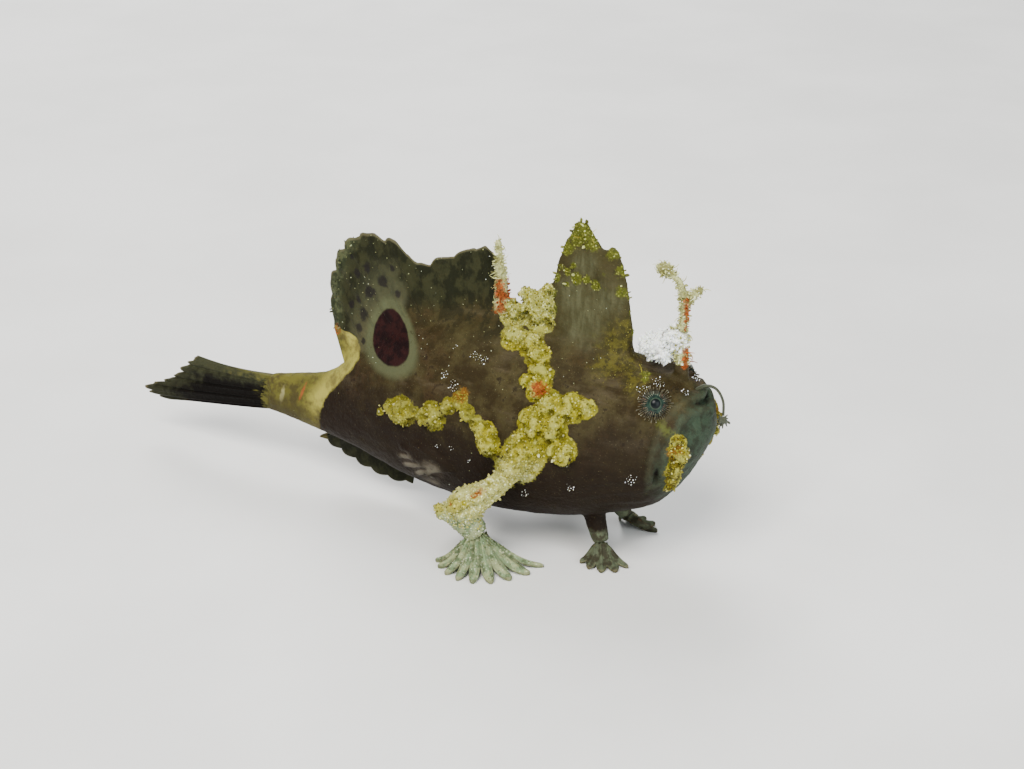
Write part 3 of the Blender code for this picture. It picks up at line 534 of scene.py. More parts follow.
def foot_surface(wrist, palm, tips, notch):
    """A hand or foot: rays that leave the wrist, come down and lie along the floor."""
    rays = len(tips)
    start = Vector(wrist)
    low = 0.2
    heading = Vector((tips[-1][0] - tips[0][0], tips[-1][1] - tips[0][1], 0)).normalized()

    def place(u, v):
        tip = Vector((*catmull(tips, u), low))
        root = start + heading * palm * (2 * u - 1) * 0.9
        knee = root.lerp(tip, 0.5)
        knee.z = low + 0.1
        w = v * (1 - notch * (1 - on_ray(u, rays)) ** 2)
        return root * (1 - w) ** 2 + knee * 2 * w * (1 - w) + tip * w * w

    return place


def ray_thickness(rays, membrane, ray, swell=0.0, fall=3, taper=0.6):
    """Half the thickness of a fin: membrane between round rays, and a swollen foot."""
    def half(u, v):
        near = max(0.0, 2.6 * on_ray(u, rays) - 1.6)
        ridge = (ray - membrane) * math.sqrt(max(0.0, 1 - (1 - near) ** 2)) * (1 - taper * v)
        edge = 1 - 0.55 * max(0.0, (v - 0.9) / 0.1) ** 2
        return (membrane + ridge) * edge + swell * (1 - v) ** fall * min(1.0, 0.25 + 5 * v)
    return half


def sail_surface(u, v):
    x = between(SAIL_BASE, u)
    tip = catmull(SAIL_EDGE, u)
    z = back_height(x) - 1.3
    ragged = 1 + 0.03 * noise.noise(Vector((u * 17.0, 8.2, 1.0))) * v ** 5
    bulge = -0.5 * math.sin(math.pi * v) * (0.5 - u)
    sway = 0.35 * v * math.sin(5.0 * u)
    return Vector((x + (tip[0] - x) * v * ragged + bulge, sway, z + (tip[1] - z) * v * ragged))


def sail_half(u, v):
    edge = math.sin(math.pi * u) ** 0.5 if 0 < u < 1 else 0.0
    body = SAIL_FOOT * (1 - v) ** 1.3 + 0.42 * v
    rib = SAIL_RIB * math.exp(-((u - 0.86 + 0.45 * v ** 3) / 0.09) ** 2) * (1 - 0.5 * v)
    return max(0.24, (body + rib) * (0.35 + 0.65 * edge) * (1 - 0.35 * v ** 6))


# The skin in one piece

def mouth_arc(spread):
    """A line over the snout from the left corner of the mouth to the right one."""
    arc = []
    for side, order in ((1, MOUTH), (-1, MOUTH[-2::-1])):
        for x, turn in order:
            point, _ = skin_at(x - spread, turn)
            arc.append((point.x, point.y * side, point.z))
    return arc


def eye_place():
    """The middle of the left eye and the way it looks."""
    point, out = flank(*EYE)
    return point - out * EYE_SINK, out


def eye_folds():
    centre, out = eye_place()
    return [hoop(centre + out * 0.3, out, EYE_RADIUS + 0.1, 0.2)]


def nostril_rim():
    point, out = skin_at(*NOSTRIL)
    stem = tube([tuple(point - out * 0.5), tuple(point + out * 0.3)], [0.5, 0.36], 14, 4)
    return [stem, hoop(point + out * 0.34, out, 0.26, 0.14)]


def gill_rim():
    point, out = flank(*GILL_PORE)
    aim = gill_aim(out)
    return [hoop(point + aim * 0.15, aim, PORE_RADIUS, 0.17, 0.7)]


def gill_folds():
    """Ridges of soft skin that fan out behind the arm, beside the pore."""
    folds = []
    for x, z in GILL_FOLDS:
        path = []
        for i in range(5):
            share = i / 4
            at_x = between((GILL_FOLD_ROOT[0], x), share)
            at_z = between((GILL_FOLD_ROOT[1], z), share) + 0.5 * math.sin(math.pi * share)
            point, out = flank(at_x, at_z)
            path.append(tuple(point + out * 0.1))
        folds.append(tube(path, [0.12, 0.26, 0.36, 0.34, 0.2], 12, 24))
    return folds


def fleshy_foot(columns, rows, surface, height, swell, fall, rim):
    """The foot of a fin, up to a share of its height, with flesh that thins out on its way up."""
    def half(u, v):
        return swell * (1 - v / height) ** fall + rim if v < height else rim
    return plate(columns, rows, surface, half, height)


def make_flesh():
    """Body, head, arms, spines and the fleshy feet of the fins, melted together."""
    rings = (len(BODY) - 1) * 5 + 1
    shapes = [loft(rings, 84, lambda i, turn: body_point(i / (rings - 1), 360 * turn))]
    lip_radii = [0.25] + [LIP_THICKNESS] * (2 * len(MOUTH) - 3) + [0.25]
    shapes += [tube(mouth_arc(spread), lip_radii, 14, 60) for spread in (LIP_SPREAD, -LIP_SPREAD)]
    for folds in (eye_folds, nostril_rim, gill_rim, gill_folds):
        shapes += folds()
        shapes += [mirrored(fold) for fold in folds()]
    warts = flank_warts()
    for row in (warts[:BAND_RIDGE], warts[len(BAND):len(BAND) + len(STREAK)], arm_warts()):
        shapes += both_sides(lambda: ridge(row))
    shapes += both_sides(lambda: tube(ARM_PATH, ARM_RADII, 28, 40))
    shapes += both_sides(lambda: tube(PELVIC_PATH, PELVIC_RADII, 20, 16))
    shapes += [
        lumps(warts, 1), lumps(arm_warts(), 2),
        lumps(middle_warts([(x, 0, z, radius) for x, z, radius in BACK_WARTS]), 3, False),
        lumps(middle_warts(SPINE_WARTS), 4, False),
        plate(90, 60, sail_surface, sail_half),
        tube(SPINE_PATH, SPINE_RADII), tube(SPINE_TWIG, SPINE_TWIG_RADII, 14, 10),
        tube(DORSAL_SPIKE, DORSAL_SPIKE_RADII),
        fleshy_foot(60, 16, dorsal_surface(), 0.4, 0.85, 1.6, 0.13),
        fleshy_foot(40, 12, anal_surface(), 0.5, 0.45, 1.5, 0.1),
        fleshy_foot(30, 12, caudal_surface(), 0.2, 0.75, 1.2, 0.12),
    ]
    flesh = gather("skin", shapes)
    remesh = flesh.modifiers.new("melt", "REMESH")
    remesh.mode = "VOXEL"
    remesh.voxel_size = VOXEL
    smooth = flesh.modifiers.new("smooth", "SMOOTH")
    smooth.factor = 0.5
    smooth.iterations = 5
    apply_modifiers(flesh)
    soften(flesh)
    relief(flesh)
    return flesh


def near_average(points, edges, counts):
    """For each point, the middle of the points it shares an edge with."""
    total = np.empty_like(points)
    for axis in range(3):
        total[:, axis] = np.bincount(edges[:, 0], points[edges[:, 1], axis], len(points))
        total[:, axis] += np.bincount(edges[:, 1], points[edges[:, 0], axis], len(points))
    return total / counts[:, None]


def read_edges(mesh):
    flat = np.empty(len(mesh.edges) * 2, np.int64)
    mesh.edges.foreach_get("vertices", flat)
    edges = flat.reshape(-1, 2)
    return edges, np.maximum(np.bincount(flat, minlength=len(mesh.vertices)), 1)


def soften(obj):
    """Blends the feet of the sail and of the back fin into the back."""
    mesh = obj.data
    points = read_points(mesh)
    edges, counts = read_edges(mesh)
    stations = np.linspace(-25.0, 19.0, 120)
    back = np.interp(points[:, 0], stations, [back_height(s) for s in stations])
    x, y, z = points.T
    foot = np.exp(-((z - back - 0.2) / 1.5) ** 4) * (np.abs(y) < 3.4)
    sail = foot * rise(x, 4.6, 0.8) * rise(x, 13.2, -0.8)
    fin = foot * rise(x, -17.5, 0.8) * rise(x, -0.2, -0.8)
    weight = np.maximum(sail, fin)
    for _ in range(70):
        points += (near_average(points, edges, counts) - points) * 0.6 * weight[:, None]
    mesh.vertices.foreach_set("co", points.reshape(-1))
    mesh.update()


def read_points(mesh):
    flat = np.empty(len(mesh.vertices) * 3)
    mesh.vertices.foreach_get("co", flat)
    return flat.reshape(-1, 3)


def read_normals(mesh):
    flat = np.empty(len(mesh.vertices) * 3)
    mesh.vertices.foreach_get("normal", flat)
    return flat.reshape(-1, 3)


def line_distance(points, line):
    """How far each point is from a line of straight runs."""
    nearest = np.full(len(points), 1e9)
    for a, b in zip(line[:-1], line[1:]):
        a, b = np.array(a), np.array(b)
        share = np.clip((points - a) @ (b - a) / ((b - a) @ (b - a)), 0, 1)
        nearest = np.minimum(nearest, np.linalg.norm(points - a - share[:, None] * (b - a), axis=1))
    return nearest


def blob_depth(points, blobs):
    """How deep each point lies in the nearest blob: 1 at its middle, 0 at its edge, less outside."""
    depth = np.full(len(points), FAR_OUTSIDE)
    for x, y, z, radius in blobs:
        depth = np.maximum(depth, 1 - np.linalg.norm(points - (x, y, z), axis=1) / radius)
    return depth


def smooth_arc(path, count=40):
    return [catmull(path, i / (count - 1)) for i in range(count)]


def nostril_distance(points):
    """How far each point is from the mouth of the nostril."""
    point, out = skin_at(*NOSTRIL)
    return np.linalg.norm(points - np.array(point + out * NOSTRIL_RISE), axis=1)


def gill_aim(out):
    """The way the gill's pore looks: out of the flank, back and a little down."""
    return (out + Vector((-0.9, 0.0, -0.2))).normalized()


def dent(distance, depth, width):
    return -depth * np.exp(-(distance / width) ** 2)


def near_side(points):
    """The points with those of the right side moved over to the left one."""
    return points * (1, 0, 1) + np.abs(points) * (0, 1, 0)


def skin_grain(p, wart):
    """How far the fine folds, creases and pebbles lift one point of the skin, and more on a wart."""
    fold = noise.noise(Vector((p[0] * 0.55, p[1] * 0.9, p[2] * 1.1)))
    crease = 1 - abs(noise.noise(Vector((p[0] * 0.9 + 5, p[1] * 1.4, p[2] * 1.9)))) * 2
    pebble = noise.noise(Vector(p) * 3.4)
    lumpy = 0.34 * noise.noise(Vector(p) * 1.2) + 0.24 * noise.noise(Vector(p) * 2.6)
    return 0.05 * fold + 0.03 * max(0.0, crease) ** 3 + 0.018 * pebble + wart * lumpy


def relief(obj):
    """Works the mouth's cleft, the holes and the finer folds and grain of the skin into its surface."""
    mesh = obj.data
    points = read_points(mesh)
    normals = read_normals(mesh)
    one_side = near_side(points)
    depth = dent(line_distance(points, smooth_arc(mouth_arc(0.0))), 0.45, 0.22)
    pore, out = flank(*GILL_PORE)
    pore_mouth = np.array(pore + gill_aim(out) * PORE_LENGTH)
    depth += dent(np.linalg.norm(one_side - pore_mouth, axis=1), 0.45, 0.28)
    depth += dent(nostril_distance(one_side), 0.4, 0.2)
    warty = np.clip((blob_depth(one_side, wart_blobs()) + 0.1) * 3, 0, 1)
    grain = np.array([skin_grain(p, wart) for p, wart in zip(points, warty)])
    x, y, z = one_side.T
    jaw = np.exp(-((x - 12.2) / 3.2) ** 4 - ((z - 8.6) / 2.6) ** 4) * rise(y, 2.5)
    grain += 0.055 * jaw * np.sin(5.2 * (z - 0.28 * x) + 1.1 * np.sin(0.9 * x)) * (1 - warty)
    points = points + normals * (depth + grain)[:, None]
    mesh.vertices.foreach_set("co", points.reshape(-1))
    mesh.update()


# Where the markings lie

def rise(values, start, width=1.0):
    """0 before start and 1 from start + width on, straight between. A width below 0 makes it fall."""
    return np.clip((values - start) / width, 0, 1)


def swollen(blobs, growth):
    return [(x, y, z, radius * growth) for x, y, z, radius in blobs]


def on_flank(table, growth=1.0):
    """Blobs on the skin of the flank, from a table of x, height and radius."""
    return [(*flank(x, z)[0], radius * growth) for x, z, radius in table]


def wart_blobs():
    blobs = [(*(point + out * 0.1), radius * 1.25) for point, out, radius in flank_warts()]
    blobs += swollen([(x, 0.0, z, radius) for x, z, radius in BACK_WARTS], 1.35)
    return blobs + swollen(ARM_WARTS, 1.25)


def slanted_oval(x, z, middle_x, middle_z, half_width, half_height, lean):
    """1 in the middle of a slanted oval mark, 0 on its edge and less outside."""
    return 1 - np.hypot((x - middle_x - lean * (z - middle_z)) / half_width, (z - middle_z) / half_height)


def least(*values):
    return np.minimum.reduce(values)


def fluff_depth(points, z):
    """How deep each point lies in the fluff of the second spine and of the back fin's spike."""
    paths = (SPINE_PATH, SPINE_TWIG, DORSAL_SPIKE)
    spine, twig, spike = (line_distance(points, smooth_arc(path)) for path in paths)
    on_spine = 1 - np.minimum(spine, twig) / 1.1 * np.where(z > 19.2, 1, 4)
    return np.maximum(on_spine, 1 - spike / 0.9 * np.where(z > 21.0, 1, 4))


def spot_marks(x, y, z):
    """How far each point is from the eyespot's middle, as a share of its size, and how deep in a freckle."""
    up = z * SEEN_UP[0] - y * SEEN_UP[1] - EYESPOT[1]
    on = x - y * SEEN_ALONG - EYESPOT[0]
    half_width = EYESPOT_SIZE[0] * (1 - 0.22 * np.clip(up / EYESPOT_SIZE[1], -1, 1))
    freckle = np.full(len(x), FAR_OUTSIDE)
    for du, dw, radius in FRECKLES:
        freckle = np.maximum(freckle, 1 - np.hypot(on - du, (up - dw) * 0.8) / radius)
    return np.hypot(on / half_width, up / EYESPOT_SIZE[1]), freckle


def hollow_depth(mesh, points):
    """How far each point lies in a hollow of the surface, and less than 0 on a crest."""
    edges, counts = read_edges(mesh)
    smooth = points.copy()
    for _ in range(12):
        smooth = near_average(smooth, edges, counts)
    return ((smooth - points) * read_normals(mesh)).sum(axis=1)


def write_marks(obj):
    """Writes how far each point is inside each marking, for the materials to read."""
    mesh = obj.data
    points = read_points(mesh)
    one_side = near_side(points)
    x, y, z = one_side.T
    arm = 1 - line_distance(one_side, smooth_arc(ARM_PATH[1:])) / 2.1
    on_arm = least(arm, (y - 6.6) / 2, (z - 3.9) / 3)
    palm = 1 - np.hypot(x - WRIST[0], (y - WRIST[1]) * 0.9) / 5.2
    low_sail = blob_depth(one_side, SAIL_LOW)
    streak = blob_depth(one_side, on_flank(STREAK, 1.7))
    rear_edge = [(tip_x + 0.3, 0.5, tip_z) for tip_x, tip_z in DORSAL_TIPS[:5]]
    rim = [(tip_x, 0.3, tip_z) for tip_x, tip_z in DORSAL_TIPS]
    patch = np.array([noise.noise(Vector(p) * 0.45) for p in points])
    eyespot, freckle = spot_marks(x, y, z)
    pale_end = np.interp(z, *zip(*PALE_EDGE))
    lips = line_distance(points, smooth_arc(mouth_arc(0.0)))
    marks = {
        "palm": least(palm, (y - 5.6) / 1.5, (5.6 - z) / 1.5, (z - 0.3) / 0.6),
        "yellow": np.maximum(blob_depth(one_side, wart_blobs()), on_arm),
        "arm": rise(on_arm * 6, 0) * rise(z, 11.5, -3),
        "crown": blob_depth(one_side, SAIL_CROWN + SAIL_BAND),
        "ochre": low_sail,
        "grey": blob_depth(one_side, SAIL_GREY),
        "orange": blob_depth(one_side, on_flank(CHIN_PATCH, 1.35)),
        "rust": blob_depth(one_side, [RUST_SPOT, *on_flank([CHIN_RUST])]),
        "red": blob_depth(one_side, RED_SPOTS),
        "speck": blob_depth(one_side, SPECKS),
        "scratch": slanted_oval(x, z, *SCRATCH),
        "streak": rise(streak * 4, 0) * rise(x, 0.6, -1.5),
        "edge": 1 - line_distance(points, rear_edge) / 1.5,
        "fleck": patch * 1.6 + np.clip((z - 17.0) / 12, -0.35, 0.25) - 0.1 - np.clip((x - 10.0) / 3, 0, 2),
        "rim": 1 - line_distance(points, rim) / 0.9,
        "white": blob_depth(points, swollen(SPINE_WARTS[:5], 1.25)),
        "fluff": fluff_depth(points, z),
        "eyespot": eyespot,
        "freckle": freckle,
        "pale": np.clip((pale_end - x) / 1.2, -1, 1) - 2 * rise(z, 16.0, 0.6) - 2 * rise(x, -27.4, -0.8),
        "stalk": rise(pale_end - x, 1.2, 1.5),
        "bar": slanted_oval(x, z, *PALE_BAR),
        "tail": rise(x, -25.1, -1.1),
        "face": x - np.interp(z, *zip(*FACE_EDGE)),
        "cleft": 1 - np.minimum(lips, nostril_distance(one_side)) / 0.36,
        "lip": 1 - np.abs(lips - 0.75) / 0.4,
        "smear": 1 - line_distance(one_side, [flank(*spot)[0] for spot in SMEAR]) / 0.75,
        "hand": rise(z, 6.6, -2.2) * rise(y, 5.6, 0.8),
        "pelvic": rise(z, 3.4, -1.0) * rise(x, 8.0, 0.5) * rise(y, 6.2, -0.5),
        "gill": blob_depth(one_side, on_flank(GILL_PATCH)),
        "dust": np.maximum(low_sail, 1 - np.abs(line_distance(one_side, SAIL_FRONT)) / 1.1),
        "hollow": hollow_depth(mesh, points),
    }
    for name, values in marks.items():
        layer = mesh.attributes.new(name, "FLOAT", "POINT")
        layer.data.foreach_set("value", np.asarray(values, np.float32))


# Materials

def put(tree, socket, value):
    """Joins a socket to another one, or sets its value."""
    if isinstance(value, bpy.types.NodeSocket):
        tree.links.new(value, socket)
    else:
        socket.default_value = value


def node(tree, kind, inputs=None, **settings):
    made = tree.nodes.new(kind)
    for key, value in settings.items():
        setattr(made, key, value)
    for key, value in (inputs or {}).items():
        put(tree, made.inputs[key], value)
    return made


class Coat:
    """A material as it is mixed: its tree, its shader and the place on the object in millimetres."""

    def __init__(self, name):
        self.material = bpy.data.materials.new(name)
        self.material.use_nodes = True
        self.tree = self.material.node_tree
        self.shader = self.tree.nodes["Principled BSDF"]
        spot = node(self.tree, "ShaderNodeTexCoord").outputs["Object"]
        scaled = node(self.tree, "ShaderNodeVectorMath", {0: spot, "Scale": 1000.0}, operation="SCALE")
        self.place = scaled.outputs[0]

    def maths(self, operation, a, b=0.0, c=0.0):
        return node(self.tree, "ShaderNodeMath", {0: a, 1: b, 2: c}, operation=operation).outputs[0]

    def times(self, a, b):
        return self.maths("MULTIPLY", a, b)

    def times_plus(self, a, b, c):
        return self.maths("MULTIPLY_ADD", a, b, c)

    def ramp(self, value, low, high):
        """0 below low and 1 above high, with a soft step between."""
        made = node(
            self.tree, "ShaderNodeMapRange",
            {"Value": value, "From Min": low, "From Max": high, "To Min": 0.0, "To Max": 1.0},
            interpolation_type="SMOOTHSTEP",
        )
        return made.outputs["Result"]

    def mix(self, share, a, b):
        """Colour a where the share is 0, and b where it is 1."""
        made = node(self.tree, "ShaderNodeMix", {0: share}, data_type="RGBA", blend_type="MIX")
        for slot, value in ((6, a), (7, b)):
            put(self.tree, made.inputs[slot], (*value, 1.0) if isinstance(value, tuple) else value)
        return made.outputs[2]

    def blend(self, value, low, high, a, b):
        """Colour a where the value has not reached low, and b where it is past high."""
        return self.mix(self.ramp(value, low, high), a, b)

    def lay(self, under, top, share, amount=1.0):
        """One colour laid over another, as far as share times amount."""
        return self.mix(self.times(share, amount), under, top)

    def mark(self, name):
        return node(self.tree, "ShaderNodeAttribute", attribute_name=name).outputs["Fac"]

    def cloud(self, scale, detail=3.0, rough=0.55, stretch=None):
        place = self.place
        if stretch:
            stretched = node(self.tree, "ShaderNodeVectorMath", {0: place, 1: stretch}, operation="MULTIPLY")
            place = stretched.outputs[0]
        inputs = {"Vector": place, "Scale": scale, "Detail": detail, "Roughness": rough}
        return node(self.tree, "ShaderNodeTexNoise", inputs).outputs["Fac"]

    def cells(self, scale, feature="F1"):
        inputs = {"Vector": self.place, "Scale": scale}
        return node(self.tree, "ShaderNodeTexVoronoi", inputs, feature=feature).outputs["Distance"]

    def add_bump(self, height, distance, strength):
        inputs = {"Height": height, "Distance": distance * MM, "Strength": strength}
        put(self.tree, self.shader.inputs["Normal"], node(self.tree, "ShaderNodeBump", inputs).outputs[0])

    def finish(self, colour, shader_inputs):
        put(self.tree, self.shader.inputs["Base Color"], colour)
        for name, value in shader_inputs.items():
            put(self.tree, self.shader.inputs[name], value)
        return self.material


# Colours
BROWN = (0.020, 0.0138, 0.0048)
BROWN_LIGHT = (0.047, 0.0385, 0.0145)
BROWN_WARM = (0.034, 0.021, 0.0085)
BROWN_DEEP = (0.0085, 0.0048, 0.0032)
BROWN_DUSTY = (0.060, 0.047, 0.026)
BROWN_CHEEK_SHADE = (0.012, 0.0085, 0.0050)
BROWN_REAR = (0.013, 0.012, 0.005)
OLIVE = (0.036, 0.033, 0.012)
GRIT = (0.20, 0.17, 0.09)
GREY_HALO = (0.078, 0.080, 0.044)
GREY_RING = (0.070, 0.077, 0.038)
MAROON = (0.007, 0.0024, 0.0026)
MAROON_LIGHT = (0.018, 0.0055, 0.005)
FRECKLE = (0.0085, 0.0065, 0.0075)
CREAM = (0.29, 0.265, 0.055)
CREAM_SHADE = (0.13, 0.11, 0.030)
CREAM_BAR = (0.28, 0.26, 0.12)
STALK = (0.038, 0.031, 0.011)
STALK_LIGHT = (0.078, 0.072, 0.014)
YELLOW = (0.230, 0.200, 0.008)
YELLOW_SHADE = (0.165, 0.155, 0.010)
YELLOW_DULL = (0.100, 0.094, 0.007)
YELLOW_LIGHT = (0.40, 0.385, 0.060)
YELLOW_PALE = (0.36, 0.37, 0.10)
YELLOW_CREST_HIGHLIGHT = (0.38, 0.37, 0.09)
YELLOW_HOLLOW_SHADE = (0.085, 0.072, 0.007)
YELLOW_STREAK = (0.088, 0.082, 0.012)
PALE_GREEN = (0.165, 0.225, 0.115)
WHITE = (0.90, 0.92, 0.88)
RED = (0.36, 0.078, 0.010)
RED_DARK = (0.19, 0.040, 0.007)
RED_SCRATCH = (0.26, 0.065, 0.018)
ORANGE = (0.110, 0.083, 0.006)
ORANGE_SHADE = (0.040, 0.034, 0.006)
ORANGE_BEAD = (0.19, 0.18, 0.022)
RUST = (0.135, 0.060, 0.007)
RUST_BEAD = (0.25, 0.17, 0.02)
TAIL_DARK = (0.0026, 0.0019, 0.0014)
TAIL_CLEAR = (0.034, 0.036, 0.018)
TAIL_BRIGHT = (0.105, 0.098, 0.022)
FACE_GREEN = (0.032, 0.050, 0.031)
FACE_SHADE = (0.019, 0.025, 0.016)
LIP_GREEN = (0.056, 0.062, 0.036)
SMEAR_GREEN = (0.085, 0.098, 0.018)
CLEFT_SHADE = (0.0030, 0.0020, 0.0015)
FIN_RIM = (0.13, 0.12, 0.065)


def skin_material():
    """The skin and the fins: brown with every marking."""
    coat = Coat("soft_skin")
    ramp, mix, blend, lay, mark = coat.ramp, coat.mix, coat.blend, coat.lay, coat.mark
    cloud, times, times_plus = coat.cloud, coat.times, coat.times_plus
    wobble = coat.maths("SUBTRACT", cloud(1.3, 4.0), 0.5)
    fine = coat.maths("SUBTRACT", cloud(4.5, 3.0), 0.5)

    def inside(name, low, high, loose=0.5, crisp=0.25):
        """1 well inside a marking and 0 outside it, with an uneven edge."""
        return ramp(times_plus(fine, crisp, times_plus(wobble, loose, mark(name))), low, high)

    def lay_marks(under, table):
        for name, low, high, loose, crisp, amount, top in table:
            under = lay(under, top, inside(name, low, high, loose, crisp), amount)
        return under

    patchy = cloud(0.55, 5.0, 0.62)
    blotch = cloud(1.1, 5.0, 0.65)
    beads = coat.cells(3.6)
    hollow, fin_u, fin_v = mark("hollow"), mark("fin_u"), mark("fin_v")
    parts = node(coat.tree, "ShaderNodeSeparateXYZ", {0: coat.place})
    length, height = parts.outputs["X"], parts.outputs["Z"]

    colour = blend(patchy, 0.36, 0.66, BROWN, BROWN_LIGHT)
    colour = blend(cloud(0.16, 3.0), 0.46, 0.62, colour, blend(blotch, 0.4, 0.6, BROWN, BROWN_WARM))
    mottle = ramp(cloud(0.75, 5.0, 0.6, (1.3, 1.0, 0.8)), 0.44, 0.57)
    rear = times(ramp(length, 13.5, 10.5), ramp(height, 17.5, 21.0))
    membrane = mix(mottle, (0.019, 0.021, 0.009), (0.008, 0.0095, 0.0040))
    for top, share, amount in (
        (BROWN_DUSTY, ramp(cloud(0.6, 4.0, 0.6, (0.35, 1.0, 1.3)), 0.52, 0.74), 0.7),
        (BROWN_DEEP, ramp(blotch, 0.56, 0.70), 0.8),
        # Darker towards the belly: partly the skin's own darker underside, partly painted shade
        (BROWN_DEEP, ramp(times_plus(wobble, 4.0, height), 15.5, 9.0), 0.9),
        # Painted shade on the cheek below the eye, over the cheek's own darker brown
        (BROWN_CHEEK_SHADE, times(ramp(length, 17.5, 22.0), ramp(height, 16.5, 13.5)), 0.5),
        (OLIVE, ramp(height, 17.0, 23.0), 0.6),
        (BROWN_REAR, times(rear, mottle), 0.85),
        (GRIT, ramp(cloud(8.0, 2.0), 0.66, 0.74), 0.3),
        (membrane, times(ramp(fin_v, 0.15, 0.5), ramp(length, 13.5, 9.5)), 0.82),
    ):
        colour = lay(colour, top, share, amount)

    moss = blend(blotch, 0.42, 0.60, (0.075, 0.085, 0.040), (0.022, 0.028, 0.014))
    veil = cloud(1.4, 4.0, 0.6, (1.6, 1.0, 0.3))
    veil = blend(veil, 0.38, 0.62, (0.050, 0.050, 0.023), (0.084, 0.086, 0.045))
    # Painted shade in the hollows of the gill folds and painted highlight on their crests
    gill = blend(hollow, 0.03, -0.05, (0.034, 0.026, 0.019), (0.130, 0.115, 0.085))
    # The face's front is painted dark green-grey: partly its own colour, partly painted shade
    face = blend(blotch, 0.42, 0.6, FACE_GREEN, FACE_SHADE)
    gold = blend(cloud(1.9, 4.0, 0.65), 0.40, 0.58, (0.030, 0.027, 0.007), (0.100, 0.088, 0.013))
    colour = lay_marks(colour, [
        ("edge", 0.0, 0.7, 1.0, 0.5, 0.75, moss),
        ("grey", 0.0, 0.9, 0.8, 0.3, 0.72, veil),
        ("gill", 0.0, 0.7, 0.5, 0.2, 0.8, gill),
        ("face", -1.2, 1.2, 2.4, 0.8, 0.9, face),
        ("lip", 0.0, 0.9, 1.2, 0.6, 0.24, LIP_GREEN),
        ("smear", 0.0, 0.6, 1.2, 0.8, 0.6, SMEAR_GREEN),
        ("ochre", 0.0, 0.8, 1.4, 0.8, 0.6, gold),
    ])

    spot = times_plus(wobble, 0.10, mark("eyespot"))
    halo = times(inside("freckle", -2.6, -0.9, 1.6, 0.4), ramp(spot, 3.4, 1.6))
    colour = lay(colour, GREY_HALO, halo, 0.38)
    ring = times(ramp(spot, 1.60, 1.22), ramp(cloud(2.2), 0.16, 0.40))
    colour = lay(colour, GREY_RING, ring, 0.85)
    colour = blend(spot, 1.05, 0.96, colour, blend(blotch, 0.4, 0.6, MAROON, MAROON_LIGHT))
    colour = lay_marks(colour, [("freckle", 0.0, 0.5, 1.4, 0.6, 0.78, FRECKLE)])

    cream = blend(patchy, 0.42, 0.64, CREAM, CREAM_SHADE)
    cream = lay(cream, blend(blotch, 0.42, 0.60, STALK_LIGHT, STALK), mark("stalk"), 0.88)
    cream = lay(cream, CREAM_BAR, inside("bar", 0.3, 0.7), 0.8)
    cream = lay(cream, STALK, ramp(times_plus(wobble, 3.0, height), 9.6, 7.2), 0.75)
    colour = lay_marks(colour, [("pale", 0.0, 0.3, 0.5, 0.2, 1.0, cream)])
    along_tail = times_plus(wobble, 0.5, fin_u)
    tail = blend(along_tail, 0.62, 0.96, TAIL_DARK, TAIL_CLEAR)
    tail = lay(tail, TAIL_CLEAR, ramp(times_plus(wobble, 0.6, fin_v), 0.62, 0.95), 0.6)
    long_grain = coat.maths("SUBTRACT", cloud(2.4, 3.0, 0.6, (0.22, 1.0, 1.0)), 0.5)
    near_stalk = times_plus(long_grain, 0.7, fin_v)
    top_edge = times(ramp(along_tail, 0.84, 0.98), ramp(near_stalk, 0.62, 0.12))
    tail = lay(tail, TAIL_BRIGHT, coat.maths("MAXIMUM", top_edge, ramp(near_stalk, 0.16, -0.04)), 0.8)
    colour = lay_marks(colour, [("tail", 0.2, 0.8, 1.1, 0.9, 1.0, tail)])

    warts = blend(blotch, 0.38, 0.60, YELLOW, YELLOW_SHADE)
    snow = blend(beads, 0.42, 0.12, (0.27, 0.275, 0.075), (0.56, 0.58, 0.30))
    sandy = blend(beads, 0.45, 0.15, (0.38, 0.385, 0.14), (0.74, 0.76, 0.46))
    for top, share, amount in (
        (YELLOW_LIGHT, ramp(times_plus(fine, 0.3, beads), 0.42, 0.12), 0.75),
        (YELLOW_PALE, ramp(patchy, 0.54, 0.68), 0.35),
        (YELLOW_DULL, ramp(blotch, 0.50, 0.62), 0.62),
        # Painted shade: the warts darken in the hollows between their lumps
        (YELLOW_HOLLOW_SHADE, ramp(hollow, 0.0, 0.16), 0.8),
        # Painted highlight: the warts lighten on the crests of their lumps
        (YELLOW_CREST_HIGHLIGHT, ramp(hollow, -0.03, -0.14), 0.5),
        (snow, ramp(times_plus(wobble, 3.0, height), 19.2, 21.4), 0.65),
        (sandy, mark("arm"), ramp(cloud(0.9, 4.0, 0.6), 0.34, 0.50)),
        (YELLOW_STREAK, mark("streak"), 0.45),
    ):
        warts = lay(warts, top, share, amount)
    crown = blend(beads, 0.4, 0.12, (0.066, 0.074, 0.008), (0.23, 0.245, 0.050))
    chin = blend(cloud(1.7, 4.0, 0.65), 0.42, 0.56, ORANGE, ORANGE_SHADE)
    chin = lay(chin, ORANGE_BEAD, ramp(beads, 0.38, 0.14), 0.6)
    palm = blend(blotch, 0.44, 0.62, PALE_GREEN, (0.075, 0.100, 0.048))
    palm = lay(palm, (0.30, 0.32, 0.165), ramp(cloud(1.4, 4.0, 0.65), 0.45, 0.58), 0.7)
    palm = lay(palm, (0.50, 0.55, 0.40), ramp(beads, 0.34, 0.12), 0.5)
    # Painted shade in the hollows of the hand
    palm = lay(palm, (0.050, 0.060, 0.030), ramp(hollow, 0.02, 0.12), 0.6)
    foot = blend(blotch, 0.42, 0.58, (0.075, 0.088, 0.052), (0.032, 0.030, 0.018))
    frost = blend(blotch, 0.42, 0.6, (0.42, 0.43, 0.20), (0.17, 0.165, 0.055))
